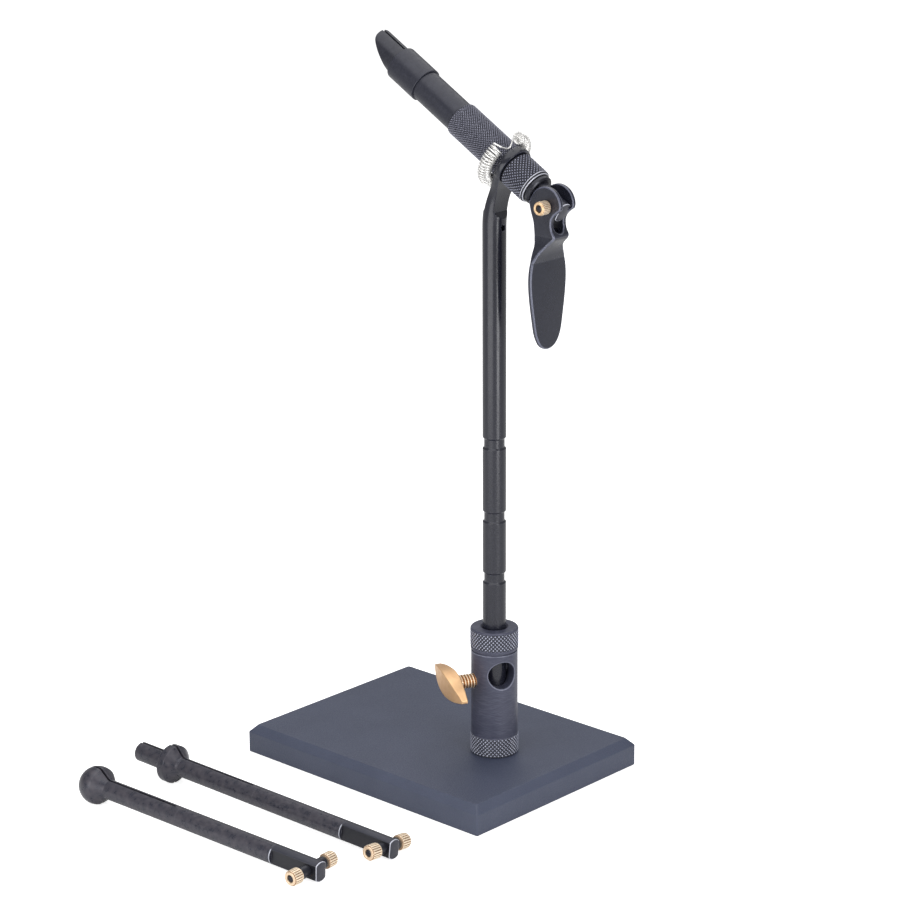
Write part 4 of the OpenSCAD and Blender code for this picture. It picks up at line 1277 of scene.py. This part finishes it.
    def spring(self) -> None:
        """Winds the material spring round the grip, with a loose tail at one end."""
        per = 22
        k = np.arange(round(self.curls * per) + 1) / per
        arc = math.radians(360 - self.gap)
        turn = math.radians(90 + self.ring_turn + self.gap / 2) + arc * k / self.curls
        curl = 2 * math.pi * k
        sway = 1 + 0.05 * np.sin(turn * 3.1) + 0.03 * np.sin(turn * 7.7)
        r = self.ring_radius + self.coil_radius * np.cos(curl)
        ring_s = self.grip[0] + 0.15 + self.coil_radius + self.wire
        rise = ring_s - self.coil_radius * sway * np.sin(curl)
        coil = np.stack([self.slack - r * np.sin(turn), r * np.cos(turn), rise], -1)
        coil[:, 2] = np.maximum(coil[:, 2], self.grip[0] + 0.1 + self.wire)
        tail = smooth_curve([coil[-1], *self.tail], 6)[1:]
        wire = swept(np.concatenate([coil, tail]), self.wire, 10)
        self.shown(solid("material_spring_wire", wire, self.place(), 80), "barrel", WIRE, "material_spring")

    def build(self) -> None:
        """Builds the whole head."""
        self.barrel()
        self.adjuster()
        self.jaws()
        self.spring()


def tang_piece(name: str, place: Matrix, length: float, pin_s: float) -> bpy.types.Object:
    """Makes a shank's end that is machined flat on two sides, and cross drills it.

    Args:
        name: The object's name.
        place: Its frame, with the tang's end at zero.
        length: Length of the flats.
        pin_s: Place of the cross hole.

    Returns:
        The object.
    """
    radius, half = SHANK_RADIUS, TANG_HALF
    corner = math.asin(half / radius)
    brink = math.sqrt(radius**2 - half**2)
    arc = np.linspace(0, corner - 0.04, 9)
    sweep = np.linspace(corner + 0.04, math.pi / 2, 9)
    flats = np.stack([np.append(radius * np.cos(arc), (brink - 0.12) * np.linspace(1, 0, 9)),
                      np.append(radius * np.sin(arc), np.full(9, half))], -1)
    round_bar = radius * np.stack([np.cos(np.append(arc, sweep)), np.sin(np.append(arc, sweep))], -1)

    def ring(quarter: Grid, inset: float, s: float) -> Grid:
        """Returns one closed ring from its first quarter."""
        loop = four_fold(quarter) * (1 - inset / radius)
        return np.column_stack([loop, np.full(len(loop), s)])

    rings = [ring(flats, inset, s) for inset, s in (
        (radius, 0), (0.34, 0), (0.12, 0.06), (0.03, 0.16), (0, 0.32), (0, length - 0.1), (0, length))]
    rings += [ring(round_bar, inset, length + s) for inset, s in (
        (0.12, 0), (0.03, 0.05), (0, 0.14), (0, 1), (radius, 1))]
    tang = solid(name, grid_shell(np.array(rings)), place)
    drill = cylinder("drill", PIN_RADIUS + PIN_PLAY, -radius - 1, radius + 1, cross_place(place, pin_s))
    return carved(tang, drill)


def cross_place(place: Matrix, s: float) -> Matrix:
    """Returns the frame whose Z runs along a cross pin at station s of a place."""
    return place @ shift(z=s) @ turn_by(-90, "X")


def node_points(node: str, place: Matrix) -> Grid:
    """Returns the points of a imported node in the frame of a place, in millimetres."""
    back = place.inverted()
    return np.array([back @ v.co for v in frame["nodes"][node].data.vertices]) / MM


def cross_pin(owner: SubAssembly, node: str, place: Matrix, s: float, body: str) -> None:
    """Shows a cross pin with slightly domed ends, as long as its node.

    Args:
        owner: Whose piece it is.
        node: The node that it stands for.
        place: The frame of the tang that it goes through.
        s: Its station there.
        body: The body that it rides on.
    """
    cross = cross_place(place, s)
    r, half = PIN_RADIUS, float(node_points(node, cross)[:, 2].max())
    points = [(0, -half, 0), (r * 0.55, -half + 0.06, 0.3), (r * 0.92, -half + 0.3, 0.2),
              (r, -half + 0.6, 0.1), (r, half - 0.6, 0.1), (r * 0.92, half - 0.3, 0.2),
              (r * 0.55, half - 0.06, 0.3), (0, half, 0)]
    owner.lathe(node + "_domed", points, cross, body, PIN_BLACK, node, sides=48)


@dataclass
class BrassNut(SubAssembly):
    """A brass nut with a straight knurl, a bevelled outer ring and a bore for its pin."""

    node: str
    body: str
    place: Matrix
    station: float
    teeth: int = 20
    tooth: float = 0.3
    ring: float = 0.75
    finish: Finish = NUT_BRASS

    def build(self) -> None:
        """Builds the nut as one ring whose teeth fade into the bevelled ends."""
        cross = cross_place(self.place, self.station)
        local = node_points(self.node, cross)
        y0, y1 = local[:, 2].min(), local[:, 2].max()
        if y0 + y1 < 0:
            cross = cross @ turn_by(180, "X")
            y0, y1 = -y1, -y0
        radius = float(np.hypot(local[:, 0], local[:, 1]).max())
        bore = PIN_RADIUS + 0.07
        edge = self.ring
        profile = rounded([(bore, y0, 0), (radius - 0.45, y0, 0.12), (radius, y0 + 0.45, 0.2),
                           (radius, y1 - edge, 0.3), (radius - edge * 0.62, y1 - 0.12, 0.25),
                           (radius - edge * 0.8, y1, 0.1), (bore + 0.25, y1, 0.08), (bore, y1 - 0.3, 0.08),
                           (bore, y0, 0)], 4)
        first = next(i for i, p in enumerate(profile) if p[1] > y0 + 0.62)
        last = next(i for i, p in enumerate(profile) if p[1] > y1 - edge - 0.3)
        fill = [(radius, s) for s in np.linspace(y0 + 0.8, y1 - edge - 0.35, 12)]
        profile = np.array([*profile[:first], *fill, *profile[last:]])
        per = 12
        a = np.arange(self.teeth * per) * 2 * math.pi / (self.teeth * per)
        valley = np.clip(1.55 - abs(2 * (np.arange(self.teeth * per) / per % 1) - 1) * 3.1, 0, 1)
        start, end = y0 + 0.35, y1 - edge * 0.55
        reach = np.clip(np.minimum(profile[:, 1] - start, end - profile[:, 1]) / 0.25, 0, 1)
        reach = np.where(profile[:, 0] > radius - 0.5, reach, 0)
        r = profile[:, 0:1] - reach[:, None] * valley[None, :] * self.tooth
        points = np.stack([r * np.cos(a), r * np.sin(a), profile[:, 1:2] + 0 * a], -1)
        self.shown(solid(self.node + "_turned", grid_shell(points, True), cross, 28), self.body,
                   self.finish, self.node)


@dataclass
class CamLever(SubAssembly):
    """The cam lever: a forked cam above a dished leaf, cast in one piece."""

    reach: float = 8.4
    fall: float = 0.6
    fork: float = 9.4
    gap: float = 5.8
    length: float = 57.2
    leaf: float = 21.0
    leaf_thick: float = 1.8

    def __post_init__(self) -> None:
        """Draws the side outline round the cam and down the leaf, and the front outline."""
        r, n, tilt = self.reach, self.length, math.radians(HEAD_TILT)
        cam = []
        for turn in np.radians(np.arange(0, 151, 6)):
            a, h = tilt + turn, r - self.fall * turn
            cam.append((h * math.cos(a) + self.fall * math.sin(a), h * math.sin(a) - self.fall * math.cos(a)))
        leaf_x = r * 0.32
        rear = smooth_curve([(-r * 0.78, -n * 0.012), (-r * 0.4, -n * 0.055), (-r * 0.24, -n * 0.1),
                             (-r * 0.28, -n * 0.155), (-r * 0.43, -n * 0.197), (-r * 0.39, -n * 0.222),
                             (-r * 0.2, -n * 0.25), (r * 0.02, -n * 0.285), (leaf_x - r * 0.12, -n * 0.33),
                             (leaf_x, -n * 0.385)], 5)
        c, s = math.cos(tilt), math.sin(tilt)
        flat = (r * c + r * 0.45 * s, r * s - r * 0.45 * c)
        t = self.leaf_thick
        fore = smooth_curve([(leaf_x + t, -n * 0.38), (leaf_x + t + r * 0.11, -n * 0.31), (r * 0.76, -n * 0.24),
                             (r * 0.78, -n * 0.18), (r * 0.83, -n * 0.115), (r * 0.98, -n * 0.05), flat], 5)
        self.side = np.concatenate([cam, rear, [(leaf_x, -n - 3), (leaf_x + t, -n - 3)], fore])
        half, f = self.leaf / 2, self.fork
        edge = smooth_curve([(f / 2, -n * 0.2), (f / 2, -n * 0.215), (f * 0.57, -n * 0.265),
                             (half * 0.75, -n * 0.325), (half * 0.93, -n * 0.395), (half, -n * 0.5),
                             (half * 0.96, -n * 0.62), (half * 0.83, -n * 0.77), (half * 0.7, -n * 0.885),
                             (half * 0.5, -n * 0.955), (half * 0.25, -n * 0.99), (0, -n)], 5)
        right = np.concatenate([[(f / 2, 3 * r)], edge])
        self.front = np.concatenate([right, (right * (-1, 1))[-2::-1]])

    def lever_at(self, x: Grid, y: Grid, z: Grid) -> Grid:
        """Field of the lever in the upright frame of its pin."""
        n = self.length
        low = np.clip((-n * 0.3 - z) / (n * 0.12), 0, 1) * np.clip((z + n * 1.02) / (n * 0.1), 0, 1)
        dish = 0.35 * low * (1 - (y / (self.leaf / 2)) ** 2).clip(0, 1)
        side = outline_distance(x - 0.35 * low + dish, z, self.side)
        front = outline_distance(y + 0.35 * low, z, self.front)
        neck = np.exp(-(((z + n * 0.3) / (n * 0.1)) ** 2))
        made = both(side, front, 0.55 + 0.5 * neck + 0 * (x + y))
        centre = -n * 0.185 + self.gap / 2
        slot = np.where(z > centre, abs(y) - self.gap / 2, np.hypot(y, z - centre) - self.gap / 2)
        made = both(made, -slot + 0 * x, 0.4)
        return both(made, PIN_RADIUS + PIN_PLAY - np.hypot(x, z) + 0 * y, 0.15)

    def build(self) -> None:
        """Builds the lever."""
        place = Matrix.Translation(joint("lever_swing")["pos_m"])
        step = 0.24
        shell = net_shell(self.lever_at, (-9.4, -self.leaf / 2 - 0.6, -self.length - 0.6),
                          (10.2, self.leaf / 2 + 0.6, 9.6), step)
        self.shown(feel_edges(solid("cam_lever_cast", shell, place, 55)), "lever", LEVER_BLACK, "cam_lever")


@dataclass
class SpareCollet(SubAssembly):
    """A spare collet on the table: head, slotted shank, tang, pin, bushes and two nuts."""

    name: str
    body: str
    spot: tuple[float, float]
    turn: float
    head: Callable[[float, float], Profile]
    head_at: float
    head_end: float
    tang_l: float
    rest_radius: float
    round_head: bool
    roll: float
    pin_s: float
    bush_l: float
    tang_finish: Finish
    bush_radius: float = 2.4
    bush_hole: float = 1.5
    slot_l: float = 43.5

    def place(self) -> Matrix:
        """Returns the collet's frame: Z along it from the tang's end, as it lies on the table."""
        drop = (self.rest_radius - SHANK_RADIUS) / (self.head_at - 0.3)
        tilt = math.asin(drop) if self.round_head else math.atan(drop)
        lie = self.rest_radius * (1 if self.round_head else math.cos(tilt)) - self.head_at * math.sin(tilt)
        return (shift(*self.spot, lie) @ turn_by(self.turn, "Z") @ turn_by(90 - math.degrees(tilt), "Y")
                @ turn_by(self.roll, "Z"))

    def head_field(self, x: Grid, y: Grid, z: Grid) -> Grid:
        """Field of the head and the slotted part of the shank."""
        start = self.head_at - self.slot_l - 3
        profile = rounded([(-9, start, 0), (SHANK_RADIUS, start, 0),
                           *self.head(self.head_at, self.rest_radius), (-9, self.head_end, 0)], 5)
        made = outline_distance(np.hypot(x, y), z, profile)
        cut = np.maximum(abs(y) - JAW_SLOT / 2, self.head_at - self.slot_l - z)
        return both(made, -cut, 0.12)

    def build(self) -> None:
        """Builds the collet's pieces."""
        place, r = self.place(), SHANK_RADIUS
        step = 0.2
        wide = self.rest_radius + 0.6
        head = net_shell(self.head_field, (-wide, -wide, self.head_at - self.slot_l - 4),
                         (wide, wide, self.head_end + 0.8), step)
        self.shown(solid(self.name + "_head", head, place, 40), self.body, SPARE_STEEL, self.name)
        start, end = self.tang_l + 0.5, self.head_at - self.slot_l - 3
        self.lathe(self.name + "_shank", [(0, start, 0), (r, start, 0), (r, end, 0), (0, end, 0)], place,
                   self.body, SPARE_STEEL, sides=128)
        tang = tang_piece(self.name + "_tang", place, self.tang_l, self.pin_s)
        self.shown(tang, self.body, self.tang_finish)
        cross_pin(self, self.name + "_pin", place, self.pin_s, self.body)
        cross = cross_place(place, self.pin_s)
        bushes = []
        near, far, hole, out = TANG_HALF, TANG_HALF + self.bush_l, self.bush_hole, self.bush_radius
        for flip in (1, -1):
            ring = rounded([(hole, near, 0), (out, near, 0.1), (out, far - 0.6, 0.15), (out - 0.5, far, 0.15),
                            (hole, far, 0), (hole, near, 0)])
            ring[:, 1] *= flip
            bushes.append(turned(ring, 64, True))
        self.shown(solid(self.name + "_bush_pair", merged(*bushes), cross), self.body, PIN_BLACK,
                   self.name + "_bushes")
        for side in ("left", "right"):
            node = f"{self.name}_nut_{side}"
            BrassNut(node, f"{self.body}_nut_{side}", place, self.pin_s, tooth=0.34, ring=0.78).build()


def ball_head(at: float, r: float, back: float = 2.2) -> Profile:
    """Returns the profile of a taper and a ball of radius r at a station, with a seam behind its middle."""
    seam = math.asin(back / r)
    arc = [(r * math.cos(a), at + r * math.sin(a), 0.0) for a in np.linspace(-seam + 0.06, math.pi / 2, 26)]
    edge = (r * math.cos(seam), at - back, 0.12)
    return [(SHANK_RADIUS, at - back - 4.4, 0.3), edge, *arc]


def tube_head(at: float, r: float, rim_l: float = 3.4, nose_l: float = 16.9) -> Profile:
    """Returns the profile of a ring, a taper, a straight rim of radius r from a station on, and a nose."""
    nose, end, taper = SHANK_RADIUS, at + rim_l + nose_l, at - 4
    return [(nose, taper - 0.5, 0.1), (4.4, taper - 0.15, 0.12), (4.4, taper + 0.15, 0.12), (r, at, 0.2),
            (r, at + rim_l, 0.35), (nose, at + rim_l, 0.2), (nose, end - 0.5, 0.15),
            (nose - 0.5, end, 0.15)]


@dataclass
class Studio:
    """Camera, lamps, floor and world."""

    location: tuple[float, float, float] = (-759.45, 814.41, 468.11)
    target: tuple[float, float, float] = (-17.2, 12.0, 140.8)
    roll: float = -0.27
    lens: float = 114.52
    middle: float = 0.2
    floor_drop: float = 0.2

    def camera(self) -> None:
        """Makes the camera at the photograph's viewing angle."""
        data = bpy.data.cameras.new("camera")
        data.lens, data.sensor_width, data.clip_end = self.lens, 36, 20
        back = (Vector(self.location) - Vector(self.target)).normalized()
        right = Vector((0, 0, 1)).cross(back).normalized()
        up = back.cross(right)
        roll = math.radians(self.roll)
        side = right * math.cos(roll) + up * math.sin(roll)
        place = frame_of(Vector(self.location) * MM, back, side)
        bpy.context.scene.camera = placed("camera", data, place)

    def lamp(self, name: str, azimuth: float, away: float, height: float, size: tuple[float, float],
             watts: float) -> None:
        """Stands a soft lamp that looks at the middle of the vise.

        Args:
            name: The lamp's name.
            azimuth: Its direction from the vise, from +X towards +Y, in degrees.
            away: Its distance along the floor in metres.
            height: Height of its centre in metres.
            size: Its width and height in metres.
            watts: Its power.
        """
        data = bpy.data.lights.new(name, "AREA")
        data.shape, data.size, data.size_y, data.energy = "RECTANGLE", *size, watts
        a = math.radians(azimuth)
        spot = Vector((math.cos(a) * away, math.sin(a) * away, height))
        turn = (spot - Vector((0, 0, min(height, self.middle)))).to_track_quat("Z", "Y")
        placed(name, data, Matrix.Translation(spot) @ turn.to_matrix().to_4x4())

    def world(self) -> None:
        """Lights the world softly, and shows it as white to the camera and in reflections."""
        world = bpy.data.worlds.new("studio")
        bpy.context.scene.world = world
        g = Graph(world)
        strength = g.ramp(g.seen(0.2), 0, 1, 0.28, 1.0)
        g.add("OutputWorld", {"Surface": g.add("Background", {"Color": (1, 1, 1, 1), "Strength": strength})})

    def floor(self) -> None:
        """Lays the pale floor, which stays white to the camera and keeps a faint shadow."""
        mesh = bpy.data.meshes.new("floor")
        mesh.from_pydata([(-6, -6, 0), (6, -6, 0), (6, 6, 0), (-6, 6, 0)], [], [(0, 1, 2, 3)])
        made = placed("floor", mesh, shift(z=-self.floor_drop))
        paint = bpy.data.materials.new("pale_floor")
        g = Graph(paint)
        dull = g.add("BsdfDiffuse", {"Color": (0.9, 0.9, 0.9, 1)})
        lit = g.add("AddShader", {0: dull, 1: g.add("Emission", {"Strength": 0.8})})
        g.add("OutputMaterial", {"Surface": g.add("MixShader", {0: g.seen(0.15), 1: dull, 2: lit})})
        mesh.materials.append(paint)

    def build(self) -> None:
        """Sets up the studio."""
        view = bpy.context.scene.view_settings
        view.view_transform = "Standard"
        self.camera()
        self.world()
        self.floor()
        self.lamp("strip_right", 168, 0.55, 0.2, (0.2, 0.4), 1.3)
        self.lamp("wide_left", 95, 0.62, 0.2, (0.6, 0.4), 1.9)
        self.lamp("top", 120, 0.2, 1.45, (1.7, 1.7), 15)
        self.lamp("back", 300, 0.8, 1.1, (1.0, 0.8), 3)


def main() -> None:
    """Builds the studio and every piece, in order."""
    logging.basicConfig(level=logging.INFO, format="%(message)s")
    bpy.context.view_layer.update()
    Studio().build()
    head = Head()
    parts = [
        BasePlate(), Post(), ThumbScrew(), Stem(), head, CamLever(),
        *(BrassNut("pin_" + side, side, head.place(), head.pin, teeth=24, tooth=0.15, ring=0.62,
                   finish=LEVER_NUT_BRASS) for side in ("nut_left", "nut_right")),
        SpareCollet("ball_collet", "spare_ball", (-48.5, 118.9), 3.9, ball_head, head_at=119.6,
                    head_end=127.4, tang_l=23.0, rest_radius=7.8, round_head=True, roll=0.0, pin_s=4.8,
                    bush_l=4.5, tang_finish=SHORT_TANG_STEEL),
        SpareCollet("tube_collet", "spare_tube", (-55.1, 85.6), 3.1, tube_head, head_at=118.3,
                    head_end=138.6, tang_l=25.0, rest_radius=7.9, round_head=False, roll=5.9, pin_s=3.7,
                    bush_l=3.2, tang_finish=TANG_STEEL),
    ]
    for part in parts:
        log.info("building %s", type(part).__name__)
        part.build()


if __name__ == "__main__":
    main()
